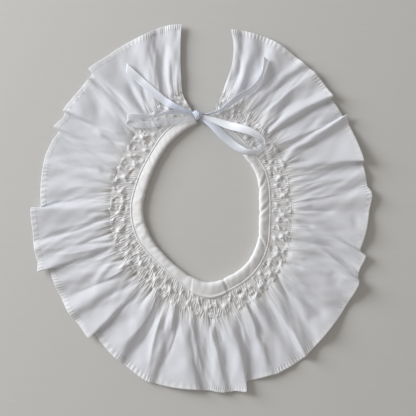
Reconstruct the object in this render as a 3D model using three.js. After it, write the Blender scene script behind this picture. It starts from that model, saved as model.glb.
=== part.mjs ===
import * as THREE from "three";

// A hand-smocked ruffle collar laid flat, in millimetres: underside on Z = 0, neck opening towards +Y.
// One gathered strip of cloth runs round the neck, its edge held in a folded binding tied with a bow.

const WALL = 1.0; // thickness of every cloth and ribbon wall
const GAP = 0.3; // air between neighbouring pieces
const HEM_EXTRA = 0.35; // what the folded hem adds to the wall
const REPEATS = 28; // smocking diamonds round the neck
const PLEATS_A_REPEAT = 10;
const PLEATS = REPEATS * PLEATS_A_REPEAT;
const RIDGE_RISE = 2.0; // how far the smocked ridges stand out of the wall
const RIDGE_WIDTH = 0.17; // of a ridge, as a share of one repeat

// Angles run anticlockwise from the top of the collar, about this point.
const CENTRE = new THREE.Vector2(-0.057, 3.246);

// Where each ring's two ends stop, in degrees; the ruffle's hem takes its ends from FOLDS.
const ENDS = {
  binding: { from: 5.4, to: 354.6 },
  seam: { from: 5.0, to: 353.6 },
  band: { from: 9.7, to: 349.9 },
};

// Radius of the neck hole, of the seam under the binding's outer edge and of the smocked band's outer edge.
const RINGS = [
  { at: 4, hole: 64.5, seam: 73.0, band: 92.0 },
  { at: 24, hole: 56.3, seam: 66.0, band: 85.3 },
  { at: 46, hole: 49.0, seam: 57.8, band: 76.3 },
  { at: 70, hole: 45.6, seam: 55.2, band: 72.6 },
  { at: 95, hole: 47.0, seam: 57.0, band: 73.9 },
  { at: 118, hole: 48.0, seam: 58.6, band: 76.0 },
  { at: 140, hole: 49.6, seam: 58.6, band: 76.3 },
  { at: 158, hole: 53.3, seam: 62.3, band: 81.5 },
  { at: 172, hole: 58.5, seam: 69.3, band: 87.0 },
  { at: 185, hole: 62.9, seam: 74.6, band: 91.0 },
  { at: 200, hole: 61.9, seam: 72.3, band: 89.2 },
  { at: 218, hole: 59.5, seam: 69.4, band: 85.8 },
  { at: 236, hole: 54.2, seam: 63.9, band: 81.0 },
  { at: 255, hole: 48.2, seam: 57.3, band: 74.8 },
  { at: 275, hole: 46.8, seam: 55.7, band: 72.4 },
  { at: 297, hole: 49.8, seam: 58.3, band: 74.4 },
  { at: 318, hole: 51.5, seam: 59.3, band: 78.0 },
  { at: 336, hole: 54.0, seam: 64.0, band: 83.4 },
  { at: 355, hole: 63.5, seam: 73.0, band: 92.0 },
];

// One row per fold of the ruffle. At the hem each fold starts in a trough at angle hem and radius reach,
// floor high; its crest stands rise above that and leans over the next fold (lean above 0) or the one
// before (below 0), bow further out than its troughs. It takes in so many pleats of the smocking, and
// its start swings sway degrees aside half way down.
const FOLDS = [
  { hem: 6.2, reach: 144.9, floor: 0.8, rise: 3.5, lean: 0.0, bow: 0.3, pleats: 6, sway: 0.0 },
  { hem: 12.2, reach: 145.5, floor: 0.3, rise: 4.2, lean: -0.5, bow: 0.0, pleats: 14, sway: 0.0 },
  { hem: 30.0, reach: 141.2, floor: 0.3, rise: 5.5, lean: 1.2, bow: 2.7, pleats: 6, sway: 0.0 },
  { hem: 40.8, reach: 135.6, floor: 0.4, rise: 3.0, lean: -0.4, bow: 0.0, pleats: 6, sway: -0.8 },
  { hem: 45.5, reach: 134.2, floor: 1.0, rise: 5.0, lean: 1.1, bow: 1.2, pleats: 6, sway: 0.0 },
  { hem: 57.2, reach: 131.0, floor: 0.3, rise: 4.0, lean: 1.05, bow: 3.9, pleats: 6, sway: 0.0 },
  { hem: 63.2, reach: 128.2, floor: 0.3, rise: 3.4, lean: -0.3, bow: 0.0, pleats: 7, sway: 1.2 },
  { hem: 72.8, reach: 131.0, floor: 0.8, rise: 2.4, lean: -0.2, bow: 0.0, pleats: 5, sway: 0.0 },
  { hem: 79.5, reach: 130.0, floor: 0.8, rise: 2.6, lean: 0.0, bow: 0.0, pleats: 4, sway: 0.0 },
  { hem: 90.2, reach: 128.5, floor: 0.2, rise: 6.0, lean: -1.25, bow: 3.0, pleats: 11, sway: 0.0 },
  { hem: 102.0, reach: 137.6, floor: 2.5, rise: 2.2, lean: 0.0, bow: 0.0, pleats: 10, sway: 0.0 },
  { hem: 108.6, reach: 138.9, floor: 2.6, rise: 4.2, lean: 1.0, bow: 5.6, pleats: 7, sway: 0.0 },
  { hem: 113.2, reach: 132.5, floor: 0.2, rise: 2.4, lean: 0.0, bow: 0.0, pleats: 8, sway: 0.0 },
  { hem: 123.6, reach: 135.0, floor: 0.4, rise: 4.5, lean: 0.2, bow: 0.8, pleats: 6, sway: 0.0 },
  { hem: 133.5, reach: 137.6, floor: 1.6, rise: 5.5, lean: 1.25, bow: 3.9, pleats: 8, sway: 0.0 },
  { hem: 140.6, reach: 134.6, floor: 0.2, rise: 5.0, lean: 0.7, bow: 2.4, pleats: 8, sway: 0.0 },
  { hem: 154.7, reach: 142.8, floor: 0.2, rise: 5.5, lean: 0.9, bow: 2.5, pleats: 9, sway: 0.8 },
  { hem: 166.6, reach: 148.3, floor: 0.3, rise: 6.0, lean: 0.9, bow: -0.5, pleats: 10, sway: 1.0 },
  { hem: 182.4, reach: 149.2, floor: 0.2, rise: 5.0, lean: 0.0, bow: 0.7, pleats: 10, sway: 0.0 },
  { hem: 189.4, reach: 152.0, floor: 0.8, rise: 4.8, lean: 0.9, bow: 5.0, pleats: 9, sway: 0.6 },
  { hem: 194.6, reach: 146.2, floor: 0.2, rise: 3.0, lean: 0.5, bow: 0.0, pleats: 6, sway: 2.0 },
  { hem: 204.5, reach: 148.6, floor: 0.6, rise: 1.6, lean: 0.0, bow: 0.0, pleats: 6, sway: 0.0 },
  { hem: 213.4, reach: 147.8, floor: 0.2, rise: 5.0, lean: -0.9, bow: 0.5, pleats: 9, sway: 0.0 },
  { hem: 218.0, reach: 145.8, floor: 0.5, rise: 0.7, lean: 0.0, bow: 0.0, pleats: 6, sway: 0.0 },
  { hem: 234.3, reach: 141.8, floor: 0.3, rise: 6.5, lean: 0.7, bow: 1.5, pleats: 16, sway: -1.2 },
  { hem: 246.4, reach: 137.6, floor: 0.3, rise: 4.5, lean: 0.8, bow: 3.0, pleats: 8, sway: 3.5 },
  { hem: 254.3, reach: 132.4, floor: 0.2, rise: 3.0, lean: -0.2, bow: 0.0, pleats: 5, sway: 1.0 },
  { hem: 267.0, reach: 134.6, floor: 0.8, rise: 4.0, lean: 0.4, bow: 2.7, pleats: 5, sway: 0.0 },
  { hem: 277.0, reach: 133.6, floor: 0.5, rise: 2.4, lean: 0.0, bow: 0.0, pleats: 8, sway: 0.0 },
  { hem: 283.6, reach: 133.4, floor: 0.2, rise: 5.5, lean: -1.2, bow: 0.8, pleats: 11, sway: 0.0 },
  { hem: 297.8, reach: 134.3, floor: 1.6, rise: 4.5, lean: 1.1, bow: 2.8, pleats: 6, sway: 0.0 },
  { hem: 302.2, reach: 133.5, floor: 0.2, rise: 2.0, lean: 0.0, bow: 0.0, pleats: 7, sway: 0.0 },
  { hem: 308.8, reach: 134.2, floor: 0.2, rise: 6.0, lean: -1.15, bow: 0.5, pleats: 4, sway: 0.0 },
  { hem: 313.5, reach: 137.3, floor: 1.4, rise: 3.8, lean: 0.6, bow: 0.8, pleats: 9, sway: 0.0 },
  { hem: 321.6, reach: 139.4, floor: 0.8, rise: 3.6, lean: 0.0, bow: 0.0, pleats: 5, sway: 0.0 },
  { hem: 327.0, reach: 140.2, floor: 0.8, rise: 3.6, lean: 0.3, bow: 0.8, pleats: 4, sway: -0.8 },
  { hem: 338.6, reach: 143.6, floor: 0.3, rise: 4.2, lean: 0.0, bow: 0.0, pleats: 5, sway: -1.4 },
  { hem: 347.0, reach: 143.0, floor: 0.6, rise: 2.5, lean: 0.0, bow: 0.0, pleats: 4, sway: -2.0 },
];
const RIGHT_EDGE = { hem: 350.3, reach: 142.0, floor: 1.2, sway: -2.4 };

// The binding's folded section: two layers with the ruffle's edge in the slot between them.
const BINDING = { layer: 1.1, slot: WALL + 2 * GAP + 0.2, foldIn: 1.6, floorShort: 0.4, stations: 84 };
const EDGE_IN_SLOT = 5.0; // how far the ruffle's edge reaches under the binding
const EDGE_LIFT = BINDING.layer + GAP + 0.1; // height of the ruffle's underside in the slot
const BINDING_TOP = 2 * BINDING.layer + BINDING.slot;

// Rows of the ruffle from the neck out: band is the share of the smocked band, out the share beyond it.
const ROWS = [
  { band: 0.03, out: 0.0, ridges: 0.0 },
  { band: 0.3, out: 0.0, ridges: 1.0 },
  { band: 0.62, out: 0.0, ridges: 1.0 },
  { band: 1.0, out: 0.0, ridges: 0.9 },
  { band: 1.0, out: 0.15, ridges: 0.5 },
  { band: 1.0, out: 0.38, ridges: 0.15 },
  { band: 1.0, out: 0.68, ridges: 0.0 },
  { band: 1.0, out: 0.93, ridges: 0.0 },
  { band: 1.0, out: 1.0, ridges: 0.0 },
];

// Ribbon pieces: the way the middle of the ribbon goes, its width (pinched at the knot), how high its
// lowest edge floats over what is under it or its height z, the heading of its width in plan and how
// far it is tilted on edge.
const LEFT_TAIL = [
  { x: -6.2, y: 76.6, width: 3.0, over: 0.1, heading: 84, tilt: 66 },
  { x: -14.7, y: 79.1, width: 4.6, over: 0.0, heading: 74, tilt: 60 },
  { x: -22.0, y: 81.6, width: 6.0, over: 0.0, heading: 66, tilt: 40 },
  { x: -30.0, y: 86.3, width: 6.0, over: 0.0, heading: 54, tilt: 12 },
  { x: -42.7, y: 97.1, width: 6.0, over: 0.3, heading: 48, tilt: 0 },
  { x: -52.0, y: 105.4, width: 6.0, over: 0.7, heading: 47, tilt: 0 },
  { x: -60.0, y: 112.6, width: 6.0, over: 1.1, heading: 47, tilt: 0 },
];
const RIGHT_TAIL = [
  { x: 2.8, y: 76.4, width: 2.8, over: 0.1, heading: 92, tilt: 66 },
  { x: 9.0, y: 76.2, width: 3.2, over: 0.0, heading: 105, tilt: 66 },
  { x: 16.0, y: 78.6, width: 4.6, over: 0.0, heading: 122, tilt: 56 },
  { x: 22.0, y: 82.9, width: 6.0, over: 0.0, heading: 130, tilt: 40 },
  { x: 31.5, y: 90.0, width: 6.0, over: 0.2, heading: 122, tilt: 20 },
  { x: 40.5, y: 95.2, width: 6.0, over: 0.3, heading: 130, tilt: 25 },
  { x: 46.6, y: 102.6, width: 6.0, over: 0.3, heading: 148, tilt: 60 },
  { x: 49.8, y: 110.7, width: 6.0, over: 0.3, heading: 160, tilt: 68 },
  { x: 51.6, y: 119.6, width: 6.0, over: 0.3, heading: 168, tilt: 50 },
];
const LEFT_LOOP = [
  { x: -6.2, y: 73.9, z: 6.6, width: 2.6, heading: 90, tilt: 50 },
  { x: -14.0, y: 75.2, z: 8.6, width: 4.6, heading: 88, tilt: 62 },
  { x: -24.0, y: 75.4, z: 9.4, width: 6.0, heading: 86, tilt: 58 },
  { x: -36.0, y: 73.6, z: 9.8, width: 6.0, heading: 84, tilt: 38 },
  { x: -48.0, y: 72.4, z: 10.4, width: 6.0, heading: 86, tilt: 24 },
  { x: -54.6, y: 71.8, z: 10.4, width: 6.0, heading: 88, tilt: 16 },
  { x: -58.2, y: 71.0, z: 9.4, width: 6.0, heading: 88, tilt: 12 },
  { x: -59.4, y: 69.8, z: 7.9, width: 6.0, heading: 88, tilt: 10 },
  { x: -58.2, y: 68.6, z: 6.4, width: 6.0, heading: 88, tilt: 8 },
  { x: -54.6, y: 67.4, z: 5.5, width: 6.0, heading: 88, tilt: 6 },
  { x: -48.0, y: 66.6, z: 5.6, width: 6.0, heading: 88, tilt: 4 },
  { x: -38.0, y: 67.4, z: 5.5, width: 6.0, heading: 92, tilt: 0 },
  { x: -26.0, y: 69.4, z: 5.5, width: 6.0, heading: 96, tilt: 0 },
  { x: -14.0, y: 70.6, z: 5.4, width: 4.4, heading: 92, tilt: 0 },
  { x: -6.2, y: 71.2, z: 5.0, width: 2.4, heading: 90, tilt: 0 },
];
const RIGHT_LOOP = [
  { x: 2.8, y: 70.9, z: 4.2, width: 3.0, heading: 76, tilt: 0 },
  { x: 8.6, y: 67.0, z: 5.5, width: 5.4, heading: 56, tilt: 0 },
  { x: 15.0, y: 61.4, z: 5.6, width: 6.6, heading: 50, tilt: 0 },
  { x: 22.0, y: 55.6, z: 5.6, width: 6.6, heading: 54, tilt: 4 },
  { x: 30.0, y: 51.4, z: 5.7, width: 6.0, heading: 62, tilt: 8 },
  { x: 38.0, y: 48.6, z: 5.8, width: 6.0, heading: 70, tilt: 12 },
  { x: 45.0, y: 47.9, z: 6.2, width: 6.0, heading: 76, tilt: 16 },
  { x: 49.0, y: 48.7, z: 7.2, width: 6.0, heading: 78, tilt: 18 },
  { x: 51.0, y: 50.8, z: 9.2, width: 6.0, heading: 78, tilt: 18 },
  { x: 49.6, y: 53.4, z: 11.4, width: 6.0, heading: 76, tilt: 18 },
  { x: 45.6, y: 56.8, z: 12.4, width: 6.0, heading: 72, tilt: 16 },
  { x: 39.0, y: 60.8, z: 12.2, width: 6.0, heading: 70, tilt: 12 },
  { x: 31.0, y: 64.0, z: 11.0, width: 6.0, heading: 74, tilt: 6 },
  { x: 21.0, y: 66.6, z: 10.4, width: 6.0, heading: 76, tilt: 4 },
  { x: 11.0, y: 70.0, z: 9.0, width: 4.4, heading: 74, tilt: 0 },
  { x: 2.8, y: 73.4, z: 6.2, width: 2.4, heading: 84, tilt: 0 },
];
const KNOT = { x: -1.6, y: 73.2, width: 7.6, depth: 8.4, height: 6.4, turns: 20, rings: 9 };

const mix = (a, b, share) => a + (b - a) * share;
const radians = (degrees) => (degrees * Math.PI) / 180;

function point(angle, radius, z) {
  const a = radians(angle);
  return new THREE.Vector3(CENTRE.x - radius * Math.sin(a), CENTRE.y + radius * Math.cos(a), z);
}

// A smooth curve through one column of a table, by the table's own key column.
function through(table, key, column, value) {
  const last = table.length - 1;
  let i = 0;
  while (i < last - 1 && value > table[i + 1][key]) i += 1;
  const slope = (k) => {
    const before = table[Math.max(0, k - 1)];
    const after = table[Math.min(last, k + 1)];
    return (after[column] - before[column]) / (after[key] - before[key]);
  };
  const step = table[i + 1][key] - table[i][key];
  const t = (value - table[i][key]) / step;
  const t2 = t * t;
  const t3 = t2 * t;
  const near = (2 * t3 - 3 * t2 + 1) * table[i][column] + (t3 - 2 * t2 + t) * step * slope(i);
  const far = (3 * t2 - 2 * t3) * table[i + 1][column] + (t3 - t2) * step * slope(i + 1);
  return near + far;
}

// The angle at each share of a ring's length.
function ringAngles(ring, count) {
  const { from, to } = ENDS[ring];
  const steps = 1400;
  const lengths = [0];
  let before = null;
  for (let i = 0; i <= steps; i += 1) {
    const angle = mix(from, to, i / steps);
    const here = point(angle, through(RINGS, "at", ring, angle), 0);
    if (before) lengths.push(lengths[i - 1] + here.distanceTo(before));
    before = here;
  }
  const angles = [];
  let k = 0;
  for (let j = 0; j <= count; j += 1) {
    const want = (lengths[steps] * j) / count;
    while (k < steps - 1 && lengths[k + 1] < want) k += 1;
    const share = (want - lengths[k]) / (lengths[k + 1] - lengths[k]);
    angles.push(mix(from, to, (k + share) / steps));
  }
  return angles;
}

// Angle, radius and height of the hem at a pleat counted from the left free edge.
function hemAt(pleat) {
  let i = 0;
  let start = 0;
  while (i < FOLDS.length - 1 && pleat >= start + FOLDS[i].pleats) {
    start += FOLDS[i].pleats;
    i += 1;
  }
  const fold = FOLDS[i];
  const next = FOLDS[i + 1] ?? RIGHT_EDGE;
  const share = (pleat - start) / fold.pleats;
  const along = share + 0.12 * fold.lean * Math.sin(Math.PI * share);
  const bump = Math.sin(Math.PI * along) ** 2;
  const span = next.hem - fold.hem;
  return {
    angle: fold.hem + span * along + (fold.lean * span * bump) / Math.PI,
    radius: mix(fold.reach, next.reach, along) + fold.bow * bump,
    height: mix(fold.floor, next.floor, along) + fold.rise * bump,
    sway: mix(fold.sway, next.sway, along),
  };
}

// The smocking's two crossing zigzags of ridges, from 0 between them to 1 on a ridge.
const ZIGZAG = [
  { band: 0.0, phase: 0.0 },
  { band: 0.3, phase: 0.5 },
  { band: 0.62, phase: 0.0 },
  { band: 1.0, phase: 0.5 },
];
function ridge(pleat, band) {
  let i = 0;
  while (i < ZIGZAG.length - 2 && band > ZIGZAG[i + 1].band) i += 1;
  const share = (band - ZIGZAG[i].band) / (ZIGZAG[i + 1].band - ZIGZAG[i].band);
  const phase = mix(ZIGZAG[i].phase, ZIGZAG[i + 1].phase, share);
  const here = pleat / PLEATS_A_REPEAT;
  const away = (from) => Math.abs(here - from - Math.round(here - from));
  const nearest = Math.min(away(phase), away(-phase));
  return Math.exp(-((nearest / RIDGE_WIDTH) ** 2));
}

// Middle of the ruffle's wall at every row and pleat, with what the ridges and the hem add on top.
function ruffleMiddle() {
  const seam = ringAngles("seam", PLEATS);
  const band = ringAngles("band", PLEATS);
  const middle = [[]];
  const added = [[]];
  for (let j = 0; j <= PLEATS; j += 1) {
    const radius = through(RINGS, "at", "seam", seam[j]) - EDGE_IN_SLOT;
    middle[0].push(point(seam[j], radius, EDGE_LIFT + WALL / 2));
    added[0].push(0);
  }
  for (const row of ROWS) {
    const points = [];
    const extra = [];
    for (let j = 0; j <= PLEATS; j += 1) {
      const seamPoint = point(seam[j], through(RINGS, "at", "seam", seam[j]), 0);
      const bandRadius = through(RINGS, "at", "band", band[j]);
      const hem = hemAt(j);
      let here;
      if (row.out > 0) {
        const swing = hem.sway * Math.sin(Math.PI * row.out);
        const angle = mix(band[j], hem.angle, row.out ** 1.15) + swing;
        const radius = mix(bandRadius, hem.radius, row.out);
        here = point(angle, radius, WALL / 2 + hem.height * row.out ** 0.8);
      } else {
        here = seamPoint.lerp(point(band[j], bandRadius, 0), row.band);
        here.z = WALL / 2 + (row.band < 0.1 ? EDGE_LIFT : 0);
      }
      points.push(here);
      const hemmed = row.out > 0.9 ? HEM_EXTRA : 0;
      extra.push(RIDGE_RISE * row.ridges * ridge(j, row.band) + hemmed);
    }
    middle.push(points);
    added.push(extra);
  }
  return { middle, added };
}

// The two faces of a wall laid about a grid of middle points, the outer one raised by what is added.
function wallFaces(middle, added) {
  const rows = middle.length;
  const columns = middle[0].length;
  const inner = [];
  const outer = [];
  for (let i = 0; i < rows; i += 1) {
    inner.push([]);
    outer.push([]);
    for (let j = 0; j < columns; j += 1) {
      const along = middle[i][Math.min(columns - 1, j + 2)].clone().sub(middle[i][Math.max(0, j - 2)]);
      const out = middle[Math.min(rows - 1, i + 1)][j].clone().sub(middle[Math.max(0, i - 1)][j]);
      const normal = out.cross(along).normalize();
      if (i < 5) normal.set(0, 0, 1);
      inner[i].push(middle[i][j].clone().addScaledVector(normal, -WALL / 2));
      outer[i].push(middle[i][j].clone().addScaledVector(normal, WALL / 2 + added[i][j]));
    }
  }
  return { inner, outer };
}

// A closed solid from two grids of matching points, the outer one seen from above.
function shell(outer, inner) {
  const rows = outer.length;
  const columns = outer[0].length;
  const positions = [];
  for (const grid of [outer, inner]) {
    for (const row of grid) for (const p of row) positions.push(p.x, p.y, p.z);
  }
  const top = (i, j) => i * columns + j;
  const under = (i, j) => (rows + i) * columns + j;
  const index = [];
  const quad = (a, b, c, d) => index.push(a, b, c, a, c, d);
  for (let i = 0; i < rows - 1; i += 1) {
    for (let j = 0; j < columns - 1; j += 1) {
      quad(top(i, j), top(i + 1, j), top(i + 1, j + 1), top(i, j + 1));
      quad(under(i, j), under(i, j + 1), under(i + 1, j + 1), under(i + 1, j));
    }
  }
  for (let j = 0; j < columns - 1; j += 1) {
    quad(top(0, j), top(0, j + 1), under(0, j + 1), under(0, j));
    quad(top(rows - 1, j), under(rows - 1, j), under(rows - 1, j + 1), top(rows - 1, j + 1));
  }
  for (let i = 0; i < rows - 1; i += 1) {
    quad(top(i, 0), under(i, 0), under(i + 1, 0), top(i + 1, 0));
    const e = columns - 1;
    quad(top(i, e), top(i + 1, e), under(i + 1, e), under(i, e));
  }
  const geometry = new THREE.BufferGeometry();
  geometry.setAttribute("position", new THREE.Float32BufferAttribute(positions, 3));
  geometry.setIndex(index);
  return geometry;
}

// A closed solid swept through sections that all have the same number of points.
function swept(sections) {
  const count = sections[0].length;
  const positions = sections.flat().flatMap((p) => [p.x, p.y, p.z]);
  const index = [];
  for (let s = 0; s < sections.length - 1; s += 1) {
    for (let k = 0; k < count; k += 1) {
      const a = s * count + k;
      const b = s * count + ((k + 1) % count);
      index.push(a, b, b + count, a, b + count, a + count);
    }
  }
  const flat = sections[0].map((p) => p.plane);
  const turning = Math.sign(THREE.ShapeUtils.area(flat));
  const far = (sections.length - 1) * count;
  for (const face of THREE.ShapeUtils.triangulateShape(flat, [])) {
    const facing = Math.sign(THREE.ShapeUtils.area(face.map((k) => flat[k])));
    const [a, b, c] = facing === turning ? face : [...face].reverse();
    index.push(c, b, a);
    index.push(far + a, far + b, far + c);
  }
  const geometry = new THREE.BufferGeometry();
  geometry.setAttribute("position", new THREE.Float32BufferAttribute(positions, 3));
  geometry.setIndex(index);
  return geometry;
}

// The binding's section, out from its folded edge at the neck hole and round both layers.
function bindingGeometry() {
  const { layer, slot, foldIn, floorShort, stations } = BINDING;
  const top = BINDING_TOP;
  const middle = top / 2;
  const sections = [];
  for (let s = 0; s <= stations; s += 1) {
    const angle = mix(ENDS.binding.from, ENDS.binding.to, s / stations);
    const hole = through(RINGS, "at", "hole", angle);
    const wide = through(RINGS, "at", "seam", angle) - hole;
    const profile = [
      [wide, top],
      [wide, layer + slot],
      [foldIn + 0.9, layer + slot],
      [foldIn, middle],
      [foldIn + 0.9, layer],
      [wide - floorShort, layer],
      [wide - floorShort, 0],
      [1.3, 0],
      [0.35, 0.7],
      [0, middle],
      [0.35, top - 0.7],
      [1.3, top],
    ];
    sections.push(
      profile.map(([out, z]) => {
        const p = point(angle, hole + out, z);
        p.plane = new THREE.Vector2(out, z);
        return p;
      }),
    );
  }
  return swept(sections);
}

// Height of the ruffle's and the binding's upper faces at a place in plan.
function heightFinder(outer) {
  const faces = [];
  for (let i = 0; i < outer.length - 1; i += 1) {
    for (let j = 0; j < outer[0].length - 1; j += 1) {
      faces.push([outer[i][j], outer[i + 1][j], outer[i + 1][j + 1]]);
      faces.push([outer[i][j], outer[i + 1][j + 1], outer[i][j + 1]]);
    }
  }
  return (x, y) => {
    let best = 0;
    const away = Math.hypot(x - CENTRE.x, y - CENTRE.y);
    const turn = (Math.atan2(CENTRE.x - x, y - CENTRE.y) * 180) / Math.PI;
    const angle = turn < 0 ? turn + 360 : turn;
    const seam = through(RINGS, "at", "seam", angle);
    const hole = through(RINGS, "at", "hole", angle);
    if (away > hole && away < seam + 0.5) best = BINDING_TOP;
    for (const [a, b, c] of faces) {
      const area = (b.x - a.x) * (c.y - a.y) - (c.x - a.x) * (b.y - a.y);
      if (Math.abs(area) < 1e-9) continue;
      const v = ((x - a.x) * (c.y - a.y) - (c.x - a.x) * (y - a.y)) / area;
      const w = ((b.x - a.x) * (y - a.y) - (x - a.x) * (b.y - a.y)) / area;
      if (v < 0 || w < 0 || v + w > 1) continue;
      best = Math.max(best, a.z + v * (b.z - a.z) + w * (c.z - a.z));
    }
    return best;
  };
}

// A flat ribbon along a table of stations; a table with no z floats over what heightAt finds below.
function ribbonGeometry(table, steps, heightAt) {
  const rows = table.map((row, i) => ({ ...row, i }));
  const last = rows.length - 1;
  const places = [];
  for (let s = 0; s <= steps; s += 1) {
    const at = (last * s) / steps;
    const value = (column) => through(rows, "i", column, at);
    const heading = radians(value("heading"));
    const tilt = radians(value("tilt"));
    const width = new THREE.Vector3(
      Math.cos(tilt) * Math.cos(heading),
      Math.cos(tilt) * Math.sin(heading),
      Math.sin(tilt),
    );
    const place = { x: value("x"), y: value("y"), width: width.multiplyScalar(value("width")) };
    if (heightAt) {
      let under = 0;
      for (const side of [-0.55, -0.25, 0, 0.25, 0.55]) {
        const across = place.width.clone().multiplyScalar(side);
        under = Math.max(under, heightAt(place.x + across.x, place.y + across.y));
      }
      place.z = under + GAP + value("over") + (place.width.z + Math.cos(tilt) * WALL) / 2;
    } else {
      place.z = value("z");
    }
    places.push(place);
  }
  if (heightAt) {
    const raw = places.map((p) => p.z);
    const reach = 2;
    const wide = raw.map((_, s) => Math.max(...raw.slice(Math.max(0, s - reach), s + reach + 1)));
    places.forEach((p, s) => {
      const near = wide.slice(Math.max(0, s - 1), s + 2);
      p.z = near.reduce((sum, z) => sum + z, 0) / near.length;
    });
  }
  const middles = places.map((p) => new THREE.Vector3(p.x, p.y, p.z));
  const sections = places.map((p, s) => {
    const along = middles[Math.min(steps, s + 1)].clone().sub(middles[Math.max(0, s - 1)]);
    const thick = along.normalize().clone().cross(p.width).normalize().multiplyScalar(WALL / 2);
    const half = p.width.clone().multiplyScalar(0.5);
    const corner = (u, v) => {
      const q = middles[s].clone().addScaledVector(half, u).addScaledVector(thick, v);
      q.plane = new THREE.Vector2(u, v);
      return q;
    };
    return [corner(-1, -1), corner(1, -1), corner(1, 1), corner(-1, 1)];
  });
  return swept(sections);
}

// The knot: a soft block, flat below, that the ribbon ends stop short of.
function knotGeometry() {
  const { x, y, width, depth, height, turns, rings } = KNOT;
  const profile = [];
  for (let k = 0; k <= rings; k += 1) {
    const rise = (Math.PI * k) / rings;
    profile.push(new THREE.Vector2(Math.sin(rise) ** 0.6, -Math.cos(rise)));
  }
  const geometry = new THREE.LatheGeometry(profile, turns);
  geometry.rotateX(Math.PI / 2);
  geometry.scale(width / 2, depth / 2, height / 2);
  geometry.translate(x, y, height / 2);
  return geometry;
}

const cotton = new THREE.MeshStandardMaterial({ name: "white_cotton_lawn", color: 0xeceff2, roughness: 0.9 });
const bias = new THREE.MeshStandardMaterial({ name: "white_cotton_binding", color: 0xe9ebee, roughness: 0.85 });
const satin = new THREE.MeshStandardMaterial({ name: "pale_satin_ribbon", color: 0xd5dcea, roughness: 0.35 });

const collar = new THREE.Group();
function add(name, geometry, material) {
  const mesh = new THREE.Mesh(geometry, material.clone());
  mesh.name = name;
  collar.add(mesh);
}

const { middle, added } = ruffleMiddle();
const { inner, outer } = wallFaces(middle, added);
const heightAt = heightFinder(outer);
add("smocked_ruffle", shell(outer, inner), cotton);
add("neck_binding", bindingGeometry(), bias);
add("ribbon_left_tail", ribbonGeometry(LEFT_TAIL, 26, heightAt), satin);
add("ribbon_right_tail", ribbonGeometry(RIGHT_TAIL, 28, heightAt), satin);
add("ribbon_left_loop", ribbonGeometry(LEFT_LOOP, 40, null), satin);
add("ribbon_right_loop", ribbonGeometry(RIGHT_LOOP, 44, null), satin);
add("bow_knot", knotGeometry(), satin);

export default collar;
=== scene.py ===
# %% [markdown]
# # A hand-smocked ruffle collar, laid flat
# One long strip of fine white cotton is pleated up at the neck, held there by two rows of smocked
# diamonds, and left free to fall in folds towards a narrow hem. A bias binding holds the neck edge, and
# a satin ribbon ties the two ends together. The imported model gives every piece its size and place, so
# this lesson only dresses it: each solid is replaced by thin cloth that keeps close to its lines.

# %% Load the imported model
import math

import bpy
import numpy as np
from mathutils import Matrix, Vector
from mathutils.bvhtree import BVHTree


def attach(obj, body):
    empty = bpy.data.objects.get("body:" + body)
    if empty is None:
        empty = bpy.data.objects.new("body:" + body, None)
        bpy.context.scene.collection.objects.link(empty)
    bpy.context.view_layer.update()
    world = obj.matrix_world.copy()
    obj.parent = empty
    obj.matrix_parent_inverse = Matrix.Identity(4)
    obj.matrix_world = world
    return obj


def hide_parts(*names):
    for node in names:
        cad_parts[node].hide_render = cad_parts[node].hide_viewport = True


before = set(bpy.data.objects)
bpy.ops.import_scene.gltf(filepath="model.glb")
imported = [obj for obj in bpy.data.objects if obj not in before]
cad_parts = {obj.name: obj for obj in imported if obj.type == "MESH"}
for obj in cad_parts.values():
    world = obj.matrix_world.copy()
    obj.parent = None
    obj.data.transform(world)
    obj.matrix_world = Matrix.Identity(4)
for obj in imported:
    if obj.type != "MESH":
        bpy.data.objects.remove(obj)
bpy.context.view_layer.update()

MM = 0.001

# %% [markdown]
# ## The camera and the light
# The collar lies on a pale table and is seen from straight above, so the camera looks down with +Y at
# the top of the picture. Its lens is worked out from the width of table that the picture takes in.
# A window's light is wide and comes in low from the upper left: one large area light gives the soft
# shadows to the right of the hem, and the room's dimmer, warmer light fills the rest.

# %% Camera
VIEW_WIDTH = 332.8 * MM
VIEW_CENTRE = Vector((5.3, 0.3, 3.0)) * MM
EYE_HEIGHT = 1.1
SENSOR = 36.0

bpy.ops.object.camera_add(location=VIEW_CENTRE + Vector((0, 0, EYE_HEIGHT)), rotation=(0, 0, 0))
camera = bpy.context.object
camera.data.sensor_width = SENSOR
camera.data.lens = SENSOR * EYE_HEIGHT / VIEW_WIDTH
bpy.context.scene.camera = camera
print("lens", round(camera.data.lens, 1), "mm")

# %% Window light and room light
WINDOW_PLACE = (-1.60, 0.78, 0.76)
WINDOW_SIZE = (1.0, 1.0)
WINDOW_POWER = 46.0
WINDOW_COLOUR = (0.955, 0.98, 1.0)
ROOM_COLOUR = (1.0, 0.945, 0.88, 1)
ROOM_LIGHT = 0.40

bpy.ops.object.light_add(type="AREA", location=WINDOW_PLACE)
window = bpy.context.object
window.name = "window"
window.rotation_euler = (-Vector(WINDOW_PLACE)).to_track_quat("-Z", "Y").to_euler()
window.data.shape = "RECTANGLE"
window.data.size, window.data.size_y = WINDOW_SIZE
window.data.energy = WINDOW_POWER
window.data.color = WINDOW_COLOUR

room = bpy.data.worlds.new("room")
room.use_nodes = True
room_inputs = room.node_tree.nodes["Background"].inputs
room_inputs["Color"].default_value = ROOM_COLOUR
room_inputs["Strength"].default_value = ROOM_LIGHT
bpy.context.scene.world = room
bpy.context.scene.view_settings.view_transform = "Standard"
print("window light:", WINDOW_POWER, "W; room light:", ROOM_LIGHT)

# %% [markdown]
# ## Shader maths as plain expressions
# A material is a small drawing board of nodes. Writing each Math node out by hand hides the idea, so a
# socket is wrapped in a class that knows plus, minus and times. One helper makes any other node.

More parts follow.
